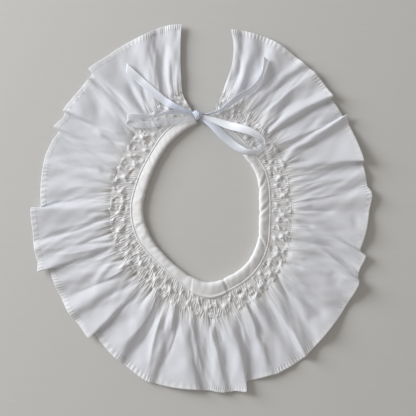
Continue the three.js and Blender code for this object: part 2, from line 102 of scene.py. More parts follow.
# %% A socket that can be added and multiplied
class Signal:
    """A socket; plain arithmetic on it adds Math nodes."""

    def __init__(self, tree, socket):
        self.tree, self.socket = tree, socket

    def math(self, operation, *others):
        return node(self.tree, "ShaderNodeMath", {"operation": operation}, {
            i: value for i, value in enumerate((self, *others))
        })

    def __add__(self, other):
        return self.math("ADD", other)

    def __radd__(self, other):
        return self.math("ADD", other)

    def __sub__(self, other):
        return self.math("SUBTRACT", other)

    def __rsub__(self, other):
        return node(self.tree, "ShaderNodeMath", {"operation": "SUBTRACT"}, {0: other, 1: self})

    def __mul__(self, other):
        return self.math("MULTIPLY", other)

    def __rmul__(self, other):
        return self.math("MULTIPLY", other)


def node(tree, kind, settings=None, inputs=None, output=0):
    """Any node: its settings first, then the values or links of its sockets, and one output."""
    made = tree.nodes.new(kind)
    for name, value in (settings or {}).items():
        setattr(made, name, value)
    for name, value in (inputs or {}).items():
        if isinstance(value, Signal):
            tree.links.new(value.socket, made.inputs[name])
        else:
            made.inputs[name].default_value = value
    return Signal(tree, made.outputs[output])


def mixed(tree, share, first, second):
    """Two colours mixed by a share from 0 to 1."""
    return node(tree, "ShaderNodeMix", {"data_type": "RGBA"}, {0: share, 6: first, 7: second}, output=2)


def streaks(tree, where, cells_a_metre, turn=0.0):
    """Noise drawn out one way, as slubs in cotton, floats in satin and the grain of a board are."""
    stretched = {"Vector": where, "Rotation": (0.0, 0.0, turn), "Scale": cells_a_metre}
    return node(tree, "ShaderNodeTexNoise", None, {
        "Vector": node(tree, "ShaderNodeMapping", None, stretched),
        "Scale": 1.0,
        "Detail": 2.0,
    })


def material(name):
    """A new material, its tree of nodes and its main shader."""
    made = bpy.data.materials.new(name)
    made.use_nodes = True
    tree = made.node_tree
    return made, tree, tree.nodes["Principled BSDF"]


# %% [markdown]
# ## Cotton
# Cotton lawn is a fine plain weave: matt, a little fuzzy at a low angle, and thin enough to glow where
# light falls through it. The weave follows the cloth, so it reads the piece's own UV map, which is in
# metres of cloth. Beside the smocking the pleats crowd many layers deep, so there the cloth hides what
# is under it, and its colour there is a little greyer; further out it is slightly sheer. Shade is painted
# into the bottom of each pit: a depth share kept at each point of the mesh darkens and warms the colour
# there.

# %% A plain weave
UV, OBJECT = 2, 3  # outputs of a Texture Coordinate node


def weave(tree, threads_a_metre, where):
    """Height of a plain weave: warp and weft threads that pass over and under."""
    apart = node(tree, "ShaderNodeSeparateXYZ", inputs={0: where}).socket.node
    along, across = Signal(tree, apart.outputs[0]), Signal(tree, apart.outputs[1])
    warp = (along * (math.pi * threads_a_metre)).math("SINE")
    weft = (across * (math.pi * threads_a_metre)).math("SINE")
    return (warp * warp).math("MAXIMUM", weft * weft)


# %% Cotton
# Metres of cloth over which the crowded pleats open out, the colour there, and the painted shade in the
# pits.
GATHERS_OPEN = 0.014
GATHERED_TONE = (0.91, 0.915, 0.935)
PAINTED_PIT_SHADE = (0.56, 0.52, 0.485)
LIGHT_THROUGH = (0.9, 0.91, 0.93, 1)
CLOUDS_A_METRE = 28.0
SLUBS_A_METRE = (900.0, 60.0, 1.0)
WEAVE_DEEP = 0.00008


def cotton(name, colour, shade, rough, threads, see_through=0.0, cover=1.0, gathered=False):
    """A cotton finish; cover is how opaque it is where it isn't gathered, and gathered cotton takes
    painted shade in the pits.
    """
    made, tree, shader = material(name)
    where = node(tree, "ShaderNodeTexCoord", output=UV)
    cloud = node(tree, "ShaderNodeTexNoise", None, {
        "Vector": where, "Scale": CLOUDS_A_METRE, "Detail": 3.0,
    })
    slub = streaks(tree, where, SLUBS_A_METRE)
    tone = mixed(tree, cloud * 0.7 + slub * 0.3, (*shade, 1), (*colour, 1))
    if gathered:
        outwards = node(tree, "ShaderNodeSeparateXYZ", inputs={0: where}, output=1)
        opened = (outwards * (1 / GATHERS_OPEN)).math("MINIMUM", 1.0)
        tone = mixed(tree, opened, (*GATHERED_TONE, 1), tone)
        tree.links.new((1 - opened * (1 - cover)).socket, shader.inputs["Alpha"])
        # Painted shade in the pits: the mesh's depth share mixes in a darker, warmer colour.
        depth = node(tree, "ShaderNodeAttribute", {"attribute_name": "depth"}, output=2)
        tone = mixed(tree, depth, tone, (*PAINTED_PIT_SHADE, 1))
    else:
        shader.inputs["Alpha"].default_value = cover
    tree.links.new(tone.socket, shader.inputs["Base Color"])
    tree.links.new((rough + slub * 0.08).socket, shader.inputs["Roughness"])
    height = weave(tree, threads, where) * 0.5 + slub * 0.5
    woven = {"Strength": 0.25, "Distance": WEAVE_DEEP, "Height": height}
    bump = node(tree, "ShaderNodeBump", None, woven)
    tree.links.new(bump.socket, shader.inputs["Normal"])
    shader.inputs["Sheen Weight"].default_value = 0.12
    shader.inputs["Sheen Roughness"].default_value = 0.5
    shader.inputs["Specular IOR Level"].default_value = 0.12
    if see_through:
        through = node(tree, "ShaderNodeBsdfTranslucent", None, {"Color": LIGHT_THROUGH})
        both = node(tree, "ShaderNodeMixShader", None, {0: see_through, 2: through})
        tree.links.new(shader.outputs[0], both.socket.node.inputs[1])
        tree.links.new(both.socket, tree.nodes["Material Output"].inputs["Surface"])
    return made


# %% The collar's cottons
LAWN_THREADS = 3600.0
BIAS_THREADS = 3000.0
STITCH_THREADS = 5000.0

lawn = cotton(
    "white_cotton_lawn", (0.945, 0.957, 1.0), (0.89, 0.904, 0.96), 0.9, LAWN_THREADS,
    see_through=0.34, cover=0.82, gathered=True,
)
lawn_pleats = cotton(
    "white_cotton_pleats", GATHERED_TONE, (0.84, 0.845, 0.865), 0.9, LAWN_THREADS,
    see_through=0.28, gathered=True,
)
lawn_hem = cotton(
    "white_cotton_hem", (0.95, 0.96, 0.99), (0.89, 0.90, 0.93), 0.9, LAWN_THREADS,
    see_through=0.28, cover=0.88,
)
bias = cotton(
    "white_cotton_binding", (0.83, 0.83, 0.845), (0.77, 0.77, 0.785), 0.9, BIAS_THREADS, see_through=0.1
)
thread = cotton("white_cotton_thread", (0.88, 0.88, 0.885), (0.82, 0.82, 0.825), 0.7, STITCH_THREADS)
print("cottons:", [finish.name for finish in (lawn, lawn_pleats, lawn_hem, bias, thread)])

# %% [markdown]
# ## Satin
# Ribbon is satin: long floats of thread give it a sheen that runs with its length, so the noise that
# tips its surface is drawn out along the piece's UV map. Thin satin is sheer enough to take on the tone
# of what it lies over. Close to the knot its shade is painted in, as a cooler, darker colour. The left
# loop lies flattened: its lower strand hardly covers the cloth below, while its tip, where both strands
# turn, covers it best.

# %% Satin
FLOATS_A_METRE = (90.0, 7000.0, 1.0)
FLOATS_DEEP = 0.00006
SATIN_SHADE = (0.85, 0.888, 0.985, 1)
SATIN_LIGHT = (0.95, 0.972, 1.0, 1)
# The painted shade by the knot, and how far along the ribbon it has faded, in metres.
KNOT_PAINTED_SHADE = (0.74, 0.795, 0.925)
KNOT_SHADE_LONG = 0.046
# A loop's lower strand takes over, and its tip fades each way, at so much of their cover a metre. The
# tip's middle lies a little before the lower strand's start.
LOWER_RAMP = 120.0
TIP_RAMP = 150.0
TIP_BACK = 0.004
TIP_COVER = 0.97


def satin(name, cover, lower_cover=None, lower_from=0.0):
    """A satin finish; a loop's lower strand starts so many metres along and has its own cover."""
    made, tree, shader = material(name)
    where = node(tree, "ShaderNodeTexCoord", output=UV)
    floats = streaks(tree, where, FLOATS_A_METRE)
    along = node(tree, "ShaderNodeSeparateXYZ", inputs={0: where}, output=1)
    # Painted shade: near the knot the colour is mixed towards a cooler, darker tone.
    faded = (along * (1 / KNOT_SHADE_LONG)).math("MINIMUM", 1.0)
    tone = mixed(tree, faded, (*KNOT_PAINTED_SHADE, 1), mixed(tree, floats, SATIN_SHADE, SATIN_LIGHT))
    tree.links.new(tone.socket, shader.inputs["Base Color"])
    tree.links.new((0.28 + floats * 0.2).socket, shader.inputs["Roughness"])
    bump = node(tree, "ShaderNodeBump", None, {"Strength": 0.3, "Distance": FLOATS_DEEP, "Height": floats})
    tree.links.new(bump.socket, shader.inputs["Normal"])
    shader.inputs["Sheen Weight"].default_value = 0.3
    shader.inputs["Specular IOR Level"].default_value = 0.8
    shader.inputs["Alpha"].default_value = cover
    if lower_cover:
        lower = ((along - lower_from) * LOWER_RAMP).math("MAXIMUM", 0.0).math("MINIMUM", 1.0)
        from_tip = (along - (lower_from - TIP_BACK)).math("ABSOLUTE")
        tip = (1 - from_tip * TIP_RAMP).math("MAXIMUM", 0.0)
        alpha = cover + lower * (lower_cover - cover) + tip * (TIP_COVER - cover)
        tree.links.new(alpha.socket, shader.inputs["Alpha"])
    return made


ribbon_satin = satin("pale_satin_ribbon", 0.7)
loop_satin = satin("pale_satin_loop", 0.55, lower_cover=0.2, lower_from=0.064)
print("satins:", [finish.name for finish in (ribbon_satin, loop_satin)])

# %% [markdown]
# ## The table
# The table isn't part of the collar and only catches its shadows, so it is one large plane that is
# marked as the stage, in pale paint with a faint slanting grain.

# %% Painted table
TABLE_SIDE = 6.0
GRAIN_A_METRE = (30.0, 420.0, 1.0)
GRAIN_TURN = math.radians(-38)


def table_paint():
    """Pale matt paint with a faint slanting grain."""
    made, tree, shader = material("pale_table")
    grain = streaks(tree, node(tree, "ShaderNodeTexCoord", output=OBJECT), GRAIN_A_METRE, GRAIN_TURN)
    tone = mixed(tree, grain, (0.535, 0.532, 0.522, 1), (0.56, 0.557, 0.547, 1))
    tree.links.new(tone.socket, shader.inputs["Base Color"])
    shader.inputs["Roughness"].default_value = 0.6
    return made


bpy.ops.object.select_all(action="DESELECT")
bpy.ops.mesh.primitive_plane_add(size=TABLE_SIDE, location=(0, 0, 0))
table_top = bpy.context.object
table_top.name = "table_top"
table_top.data.materials.append(table_paint())

# %% [markdown]
# ## The collar's own sizes
# Short tables shape the cloth as they do the solids, in millimetres. Angles run anticlockwise from the
# top of the collar, about one centre. A table holds one row for each section or fold, and a smooth curve
# runs through each of its columns. The rings are the solids' own. Six folds at the bottom and the lower
# right rise and lean a little otherwise than the solids', as the shadows on the real cloth ask.

# %% Tables with named columns
def table(columns, *rows):
    """Rows of numbers under named columns, each column an array."""
    return dict(zip(columns.split(), np.array(rows, float).T))


# %% Rings round the neck
CENTRE = (-0.057, 3.246)
REPEATS = 28
PLEATS_A_REPEAT = 10
PLEATS = REPEATS * PLEATS_A_REPEAT

# Where each ring's two ends stop, in degrees.
ENDS = {"binding": (5.4, 354.6), "seam": (5.0, 353.6), "band": (9.7, 349.9)}

# Radii of the neck hole, of the seam at the binding and of the smocked band's outer edge.
RINGS = table(
    "at hole seam band",
    (4, 64.5, 73.0, 92.0), (24, 56.3, 66.0, 85.3), (46, 49.0, 57.8, 76.3), (70, 45.6, 55.2, 72.6),
    (95, 47.0, 57.0, 73.9), (118, 48.0, 58.6, 76.0), (140, 49.6, 58.6, 76.3), (158, 53.3, 62.3, 81.5),
    (172, 58.5, 69.3, 87.0), (185, 62.9, 74.6, 91.0), (200, 61.9, 72.3, 89.2), (218, 59.5, 69.4, 85.8),
    (236, 54.2, 63.9, 81.0), (255, 48.2, 57.3, 74.8), (275, 46.8, 55.7, 72.4), (297, 49.8, 58.3, 74.4),
    (318, 51.5, 59.3, 78.0), (336, 54.0, 64.0, 83.4), (355, 63.5, 73.0, 92.0),
)

# %% Folds of the hem
# One row for each fold of the ruffle. Its trough is at angle hem and radius reach, floor high; its crest
# rises, leans over a neighbour and bows out. It takes in so many pleats, and sways half way down. The
# last row is the free end.
FOLDS = table(
    "hem reach floor rise lean bow pleats sway",
    (6.2, 144.9, 0.8, 3.5, 0.0, 0.3, 6, 0.0),
    (12.2, 145.5, 0.3, 4.2, -0.5, 0.0, 14, 0.0),
    (30.0, 141.2, 0.3, 5.5, 1.2, 2.7, 6, 0.0),
    (40.8, 135.6, 0.4, 3.0, -0.4, 0.0, 6, -0.8),
    (45.5, 134.2, 1.0, 5.0, 1.1, 1.2, 6, 0.0),
    (57.2, 131.0, 0.3, 4.0, 1.05, 3.9, 6, 0.0),
    (63.2, 128.2, 0.3, 3.4, -0.3, 0.0, 7, 1.2),
    (72.8, 131.0, 0.8, 2.4, -0.2, 0.0, 5, 0.0),
    (79.5, 130.0, 0.8, 2.6, 0.0, 0.0, 4, 0.0),
    (90.2, 128.5, 0.2, 6.0, -1.25, 3.0, 11, 0.0),
    (102.0, 137.6, 2.5, 2.2, 0.0, 0.0, 10, 0.0),
    (108.6, 138.9, 2.6, 4.2, 1.0, 5.6, 7, 0.0),
    (113.2, 132.5, 0.2, 2.4, 0.0, 0.0, 8, 0.0),
    (123.6, 135.0, 0.4, 4.5, 0.2, 0.8, 6, 0.0),
    (133.5, 137.6, 1.6, 5.5, 1.25, 3.9, 8, 0.0),
    (140.6, 134.6, 0.2, 4.2, 0.7, 2.4, 8, 0.0),
    (154.7, 142.8, 0.4, 3.6, 0.5, 2.5, 9, 0.8),
    (166.6, 148.3, 1.5, 4.8, 0.85, -0.5, 10, 1.0),
    (182.4, 149.2, 0.9, 3.3, 0.0, 0.7, 10, 0.0),
    (189.4, 152.0, 1.6, 4.0, 0.9, 5.0, 9, 0.6),
    (194.6, 146.2, 0.2, 3.0, 0.5, 0.0, 6, 2.0),
    (204.5, 148.6, 0.6, 1.6, 0.0, 0.0, 6, 0.0),
    (213.4, 147.8, 0.2, 5.0, -0.9, 0.5, 9, 0.0),
    (218.0, 145.8, 1.6, 3.6, -0.4, 0.0, 6, 0.0),
    (234.3, 141.8, 0.3, 6.5, 0.7, 1.5, 16, -1.2),
    (246.4, 137.6, 0.3, 4.5, 0.8, 3.0, 8, 3.5),
    (254.3, 132.4, 0.2, 3.0, -0.2, 0.0, 5, 1.0),
    (267.0, 134.6, 0.8, 4.0, 0.4, 2.7, 5, 0.0),
    (277.0, 133.6, 0.5, 2.4, 0.0, 0.0, 8, 0.0),
    (283.6, 133.4, 0.2, 5.5, -1.2, 0.8, 11, 0.0),
    (297.8, 134.3, 1.6, 4.5, 1.1, 2.8, 6, 0.0),
    (302.2, 133.5, 0.2, 2.0, 0.0, 0.0, 7, 0.0),
    (308.8, 134.2, 0.2, 6.0, -1.15, 0.5, 4, 0.0),
    (313.5, 137.3, 1.4, 3.8, 0.6, 0.8, 9, 0.0),
    (321.6, 139.4, 0.8, 3.6, 0.0, 0.0, 5, 0.0),
    (327.0, 140.2, 0.8, 3.6, 0.3, 0.8, 4, -0.8),
    (338.6, 143.6, 0.3, 4.2, 0.0, 0.0, 5, -1.4),
    (347.0, 143.0, 0.6, 2.5, 0.0, 0.0, 4, -2.0),
    (350.3, 142.0, 1.2, 0.0, 0.0, 0.0, 0, -2.4),
)
FOLD_STARTS = np.concatenate([[0], np.cumsum(FOLDS["pleats"])[:-1]])
print("folds:", len(FOLDS["hem"]) - 1, "over", int(FOLDS["pleats"].sum()), "pleats")

# %% Curves through the tables
def curve(rows, key, column, at):
    """A smooth curve through one column of a table, by the table's own key column."""
    keys, levels = rows[key], rows[column]
    slopes = np.empty_like(levels)
    slopes[1:-1] = (levels[2:] - levels[:-2]) / (keys[2:] - keys[:-2])
    slopes[0] = (levels[1] - levels[0]) / (keys[1] - keys[0])
    slopes[-1] = (levels[-1] - levels[-2]) / (keys[-1] - keys[-2])
    i = np.clip(np.searchsorted(keys, at) - 1, 0, len(keys) - 2)
    step = keys[i + 1] - keys[i]
    t = (at - keys[i]) / step
    near = (2 * t**3 - 3 * t**2 + 1) * levels[i] + (t**3 - 2 * t**2 + t) * step * slopes[i]
    far = (3 * t**2 - 2 * t**3) * levels[i + 1] + (t**3 - t**2) * step * slopes[i + 1]
    return near + far


def mix(first, second, share):
    """From the first to the second by a share from 0 to 1."""
    return first + (second - first) * share


# %% Places round the neck
def place(angle, radius, z=0.0):
    """Points in millimetres from angles in degrees, anticlockwise from the top, and radii."""
    turn = np.radians(angle)
    x, y = CENTRE[0] - radius * np.sin(turn), CENTRE[1] + radius * np.cos(turn)
    return np.stack(np.broadcast_arrays(x, y, z), axis=-1)


def ring_angle(ring, pleat):
    """The angle of each pleat on a ring, the pleats being evenly spaced along it."""
    angles = np.linspace(*ENDS[ring], 4001)
    points = place(angles, curve(RINGS, "at", ring, angles))
    steps = np.linalg.norm(np.diff(points, axis=0), axis=1)
    length = np.concatenate([[0], np.cumsum(steps)])
    return np.interp(np.asarray(pleat) / PLEATS * length[-1], length, angles)


# %% How the folds lie
# The share of their rise that the folds keep once laid, and how much less they keep at the free ends.
RISE_AS_LAID = 0.78
ENDS_CALM = 0.36
CALM_WITHIN = 16  # pleats
# Millimetres that the collar's right side, and its left free end, stand off the table.
RIGHT_LIFT = 1.6
END_LIFT = 2.2
LIFT_WITHIN = 4  # pleats
# A fold that leans by more than this has a sharper crest, and fully so where it leans this much more.
UPRIGHT = 0.4
SHARP_WITHIN = 0.5
SHARPER_BY = 0.6
CREST_SHIFT = 0.12


def hem_at(pleat):
    """Angle, radius and height of the hem, and its sway, at each pleat."""
    i = np.clip(np.searchsorted(FOLD_STARTS, pleat, side="right") - 1, 0, len(FOLD_STARTS) - 2)
    fold = {name: column[i] for name, column in FOLDS.items()}
    after = {name: column[i + 1] for name, column in FOLDS.items()}
    share = (pleat - FOLD_STARTS[i]) / fold["pleats"]
    along = share + CREST_SHIFT * fold["lean"] * np.sin(np.pi * share)
    crisp = 2 - SHARPER_BY * np.clip((np.abs(fold["lean"]) - UPRIGHT) / SHARP_WITHIN, 0, 1)
    bump = 1 - np.abs(np.cos(np.pi * along)) ** crisp
    span = after["hem"] - fold["hem"]
    from_end = np.minimum(pleat, PLEATS - pleat)
    afloat = RIGHT_LIFT * np.clip(-np.sin(np.radians(fold["hem"] + span * along)), 0, 1)
    afloat += END_LIFT * np.exp(-((pleat / LIFT_WITHIN) ** 2))
    settled = RISE_AS_LAID - ENDS_CALM * np.exp(-((from_end / CALM_WITHIN) ** 2))
    return {
        "angle": fold["hem"] + span * along + fold["lean"] * span * bump / np.pi,
        "radius": mix(fold["reach"], after["reach"], along) + fold["bow"] * bump,
        "height": mix(fold["floor"], after["floor"], along) + fold["rise"] * bump * settled + afloat,
        "sway": mix(fold["sway"], after["sway"], along),
    }


# %% [markdown]
# ## From a grid of points to cloth
# Every piece of cloth here is a grid of points. In the collar its rows follow one another out from the
# neck and its columns run round; in a ribbon the rows follow its length. The relief of the open cloth
# is added along the sheet's own normal. The grid then becomes a mesh with a UV map in metres of cloth,
# and Blender's Solidify modifier gives it its thickness.

# %% Relief and mesh
def raised(points, height):
    """Points moved along the sheet's own normal, to the upper side."""
    normal = np.cross(np.gradient(points, axis=0), np.gradient(points, axis=1))
    normal /= np.linalg.norm(normal, axis=-1, keepdims=True)
    return points + normal * height[..., None]


def new_piece(name, points, faces, uv, finish):
    """A piece from points in millimetres, its faces, each point's place in the UV map, and a finish."""
    mesh = bpy.data.meshes.new(name)
    mesh.from_pydata((points.reshape(-1, 3) * MM).tolist(), [], faces)
    corner = np.empty(len(mesh.loops), int)
    mesh.loops.foreach_get("vertex_index", corner)
    mesh.uv_layers.new(name="UVMap").data.foreach_set("uv", uv[corner].ravel())
    mesh.materials.append(finish)
    made = bpy.data.objects.new(name, mesh)
    bpy.context.collection.objects.link(made)
    return made


def shade_smooth(piece):
    """Every face of a piece shaded smooth."""
    faces = piece.data.polygons
    faces.foreach_set("use_smooth", [True] * len(faces))


# %% Cloth with its thickness
def cloth(name, points, thickness, finish, cloth_width=None, depth=None):
    """A sheet from a grid of points in millimetres, upper side up, its wall laid evenly about them."""
    rows, columns = points.shape[:2]
    index = np.arange(rows * columns).reshape(rows, columns)
    quads = np.stack([index[:-1, :-1], index[1:, :-1], index[1:, 1:], index[:-1, 1:]], axis=-1)
    down = np.concatenate([[0], np.cumsum(np.linalg.norm(np.diff(points, axis=0), axis=-1).mean(axis=1))])
    if cloth_width is None:
        cloth_width = np.linalg.norm(np.diff(points, axis=1), axis=-1).mean(axis=0).sum()
    u, v = np.meshgrid(np.linspace(0, cloth_width, columns), down)
    uv = np.stack([u, v], axis=-1).reshape(-1, 2) * MM
    made = new_piece(name, points, quads.reshape(-1, 4).tolist(), uv, finish)
    # The depth share, when given, sets the painted shade in the pits.
    if depth is not None:
        made.data.attributes.new("depth", "FLOAT", "POINT").data.foreach_set("value", depth.ravel())
    wall = made.modifiers.new("wall", "SOLIDIFY")
    wall.thickness, wall.offset = thickness * MM, 0.0
    bpy.ops.object.select_all(action="DESELECT")
    made.select_set(True)
    bpy.context.view_layer.objects.active = made
    bpy.ops.object.modifier_apply(modifier=wall.name)
    shade_smooth(made)
    print(name, len(made.data.polygons), "faces")
    return made


# %% [markdown]
# ## The ruffle
# Out of each outer cluster of the smocking the pleats open into creases. Most die away within two
# fingers' width; a few run on into the big folds. The relief is therefore a sum: clusters and pits, the
# single pleats, a tongue of cloth from each stitch of the band's outer edge with a gap before the next,
# finer gathers of uneven length, and low waves of slack. The creases that show most are laid one by one
# from a table of their own, because no rule would put them where a hand did.

# %% Clusters and pits of the smocking
# One row for each ring of heaps: band is its share of the way out over the smocked band, and phase
# where its first heap stands, in repeats. Heights, depths and half sizes are in millimetres.
CLUSTERS = table(
    "band phase tall wide long",
    (0.28, 0.5, 1.3, 1.9, 1.9),
    (0.60, 0.0, 1.9, 2.1, 2.2),
)
PITS = table("band phase deep wide long", (0.27, 0.0, 1.5, 1.8, 1.5), (0.78, 0.5, 1.2, 1.6, 1.5))
SMALL_KNOTS = table(
    "band phase tall wide long",
    (0.44, 0.24, 0.9, 1.1, 1.1), (0.45, 0.76, 0.9, 1.0, 1.2), (0.86, 0.2, 0.9, 1.1, 1.1),
    (0.88, 0.8, 0.9, 1.0, 1.2), (0.14, 0.0, 0.7, 1.2, 1.0), (0.72, 0.32, 0.7, 0.8, 1.0),
    (0.70, 0.7, 0.7, 0.9, 0.8), (0.30, 0.22, 0.6, 0.8, 0.9),
)
# Which way, and how hard, the stitches draw the pleats together at shares of the way out.
PULL = table("band pull", (-0.3, 0.0), (0.0, 0.0), (0.3, -1.0), (0.62, 1.0), (1.0, -1.0), (1.4, -1.0))
BUNCH = 0.6  # pleats by which the stitches move one, on average
BUNCH_VARIES = 0.5  # share by which that differs from place to place
WANDER = 0.4  # pleats that one strays by, whether bunched or not
PIT_LIMIT = 1.4  # no pit goes deeper than this
PLEAT_DEEP = 0.33
FULLER_BY = 0.7  # share by which a pleat is fuller, or slacker, along its length
FULL_AGAIN = 8  # how fast that comes and goes
STITCHED_DOWN = 0.6  # the most that a cluster's stitches flatten the pleats on it
ROUNDED = 1.15  # above 1, a heap keeps its height further out and then falls faster
REPEAT_WIDE = 14.2
BAND_WIDE = 17.5

# %% Unevenness, as hand work has
# Each heap has its own place, height and turn. The clusters come first, then the pits and small knots.
FIRST_PIT = len(CLUSTERS["band"])
FIRST_SMALL = FIRST_PIT + len(PITS["band"])
EVERY_HEAP = (FIRST_SMALL + len(SMALL_KNOTS["band"]), REPEATS + 2)
chance = np.random.default_rng(29)
uneven_at = chance.uniform(-0.15, 0.15, EVERY_HEAP)
uneven_band = chance.uniform(-0.09, 0.09, EVERY_HEAP)
uneven_tall = chance.uniform(0.65, 1.3, EVERY_HEAP)
uneven_turn = chance.uniform(-0.6, 0.6, EVERY_HEAP)
uneven_tall[FIRST_PIT:FIRST_SMALL] -= chance.uniform(0, 0.75, (len(PITS["band"]), REPEATS + 2))
pleat_start = chance.uniform(0, 2 * math.pi, PLEATS + 2)
print("heaps in the smocking:", EVERY_HEAP[0], "rings of", REPEATS)


def uneven(pleat, band, seed):
    """A smooth unevenness between about -1 and 1."""
    a, b, c = np.sin(seed * np.array([1.7, 2.9, 4.3])) * 3
    return (
        np.sin(pleat * 0.61 + band * 4 + a)
        + np.sin(pleat * 0.37 - band * 7 + b)
        + np.sin(pleat * 1.13 + band * 9 + c)
    ) / 2.2


# %% Heaps and single pleats
def blobs(rows, first, size_column, pleat, band):
    """Rounded heaps, one for each repeat of each row, no two quite alike."""
    here = pleat / PLEATS_A_REPEAT
    height = np.zeros(np.broadcast_shapes(here.shape, band.shape))
    for r in range(len(rows["band"])):
        k = np.clip(np.round(here - rows["phase"][r]).astype(int), 0, REPEATS + 1)
        aside = (here - k - rows["phase"][r] - uneven_at[first + r][k]) * REPEAT_WIDE
        along = (band - rows["band"][r] - uneven_band[first + r][k]) * BAND_WIDE
        turn = uneven_turn[first + r][k]
        across, down = aside + turn * along, along - turn * aside
        far = (across / rows["wide"][r]) ** 2 + (down / rows["long"][r]) ** 2
        height = height + rows[size_column][r] * uneven_tall[first + r][k] * np.exp(-(far**ROUNDED))
    return height


def heaps(pleat, band):
    """The smocking's relief in millimetres: clusters that stand up and pits between them."""
    knots = blobs(CLUSTERS, 0, "tall", pleat, band) + blobs(SMALL_KNOTS, FIRST_SMALL, "tall", pleat, band)
    return knots - PIT_LIMIT * np.tanh(blobs(PITS, FIRST_PIT, "deep", pleat, band) / PIT_LIMIT)


def pleat_tops(pleat, band):
    """The single pleats as fine rounded ridges, each fuller in one place than in another."""
    number = np.clip(np.round(pleat).astype(int), 0, PLEATS + 1)
    full = 1 + FULLER_BY * np.sin(FULL_AGAIN * band + pleat_start[number])
    stitched = np.clip(blobs(CLUSTERS, 0, "tall", pleat, band) / 2.2, 0, STITCHED_DOWN)
    return PLEAT_DEEP * full * (1 - stitched) * (0.5 + 0.5 * np.cos(2 * np.pi * pleat))


def bunched(pleat, band):
    """Where a pleat stands once the stitches have pulled it towards its neighbours."""
    pull = curve(PULL, "band", "pull", band)
    drawn = BUNCH * (1 + BUNCH_VARIES * uneven(pleat, 0.2 * band, 6))
    moved = pleat - drawn * pull * np.sin(2 * np.pi * pleat / PLEATS_A_REPEAT)
    return np.clip(moved + WANDER * uneven(pleat, 0.6 * band, 4), 0, PLEATS)


# %% Gathers that run out of the clusters
# Pleats to each side that a ridge can reach, and the millimetres in which one begins, and in which one
# grows to twice its width.
REACH_ASIDE = 14
BEGINS_IN = 0.7
WIDENS_IN = 40
chance = np.random.default_rng(11)


def gathers(count, tall, wide, long, lean):
    """So many ridges, each with its own height, width in pleats, length and lean; few are long."""
    return {
        "at": (np.arange(count) + chance.uniform(0.1, 0.9, count)) * PLEATS / count,
        "tall": chance.uniform(*tall, count),
        "wide": chance.uniform(*wide, count),
        "long": chance.gamma(4.0, long / 4.0, count) + 4.0,
        "lean": chance.normal(0, lean, count),
    }


FINE_GATHERS = gathers(150, (0.12, 0.42), (0.3, 0.6), 13, 0.05)
BROAD_GATHERS = gathers(50, (0.2, 0.85), (0.8, 1.7), 22, 0.05)
# The tongues start at the stitches of the outer edge, and the gaps lie between them. They share the
# unevenness of the two rings of pits.
TONGUE_ROW, GAP_ROW = FIRST_PIT, FIRST_PIT + 1
TONGUES = {
    "at": (np.arange(REPEATS) + 0.5 + uneven_at[TONGUE_ROW][:REPEATS]) * PLEATS_A_REPEAT,
    "tall": 1.9 * uneven_tall[TONGUE_ROW][:REPEATS],
    "wide": chance.uniform(1.6, 2.6, REPEATS),
    "long": chance.uniform(8, 26, REPEATS),
    "lean": chance.normal(0, 0.05, REPEATS),
}
GAPS = {
    "at": (np.arange(1, REPEATS) + uneven_at[GAP_ROW][1:REPEATS]) * PLEATS_A_REPEAT,
    "tall": -1.4 * uneven_tall[GAP_ROW][1:REPEATS],
    "wide": chance.uniform(0.5, 1.0, REPEATS - 1),
    "long": chance.uniform(7, 24, REPEATS - 1),
    "lean": chance.normal(0, 0.05, REPEATS - 1),
}
gather_sets = (FINE_GATHERS, BROAD_GATHERS, TONGUES, GAPS)
print("gathers:", sum(len(rows["at"]) for rows in gather_sets), "in", len(gather_sets), "sets")


def ridges(rows, pleat, out, within, flat_top=2.0):
    """Millimetres that a set of gathers stands up. They start so far within the band's edge."""
    height = np.zeros(np.broadcast_shapes(pleat.shape, out.shape))
    for at, tall, wide, long, lean in zip(*(rows[c] for c in ("at", "tall", "wide", "long", "lean"))):
        near = np.abs(pleat[0] - at) < REACH_ASIDE
        past = (out + np.zeros_like(height))[:, near]
        far = np.clip(past, 0, None)
        begun = 1 / (1 + np.exp(-(past + within) / BEGINS_IN))
        side = (pleat[:, near] - at - lean * far) / (wide * (1 + far / WIDENS_IN))
        height[:, near] += tall * begun * np.exp(-(np.abs(side) ** flat_top) - (far / long) ** 2)
    return height


# %% The whole relief of the gathered cloth
BAND_STANDS = 2.3
# Millimetres beyond the band in which single pleats and pits die away, and in which its swell does.
PLEATS_REACH = 7
SWELL_REACH = 30
# A place below this height takes painted pit shade, and takes it fully this much further down.
PIT_SHADE_BELOW = 2.9
PIT_SHADE_FULLY = 2.0


def pit_shade_share(height, out):
    """The share of painted shade at a place among the gathers, from 0 on their tops to 0.8 at the bottom
    of a pit.
    """
    close = np.exp(-((np.clip(out, 0, None) / PLEATS_REACH) ** 2))
    return np.clip((PIT_SHADE_BELOW - height) / PIT_SHADE_FULLY, 0, 0.8) * close


def relief(pleat, out):
    """Height of the smocked and gathered cloth, out being millimetres beyond the band's edge."""
    band = 1 + out / BAND_WIDE
    past = np.clip(out, 0, None)
    height = heaps(pleat, band) + pleat_tops(pleat, band) * np.exp(-((past / PLEATS_REACH) ** 2))
    height += BAND_STANDS * np.exp(-((past / SWELL_REACH) ** 2))
    height += (
        ridges(TONGUES, pleat, out, within=3.0, flat_top=3.2)
        + ridges(GAPS, pleat, out, within=1.0, flat_top=1.4)
    )
    broad = ridges(BROAD_GATHERS, pleat, out, within=-2.0)
    return height + broad + ridges(FINE_GATHERS, pleat, out, within=-2.0)
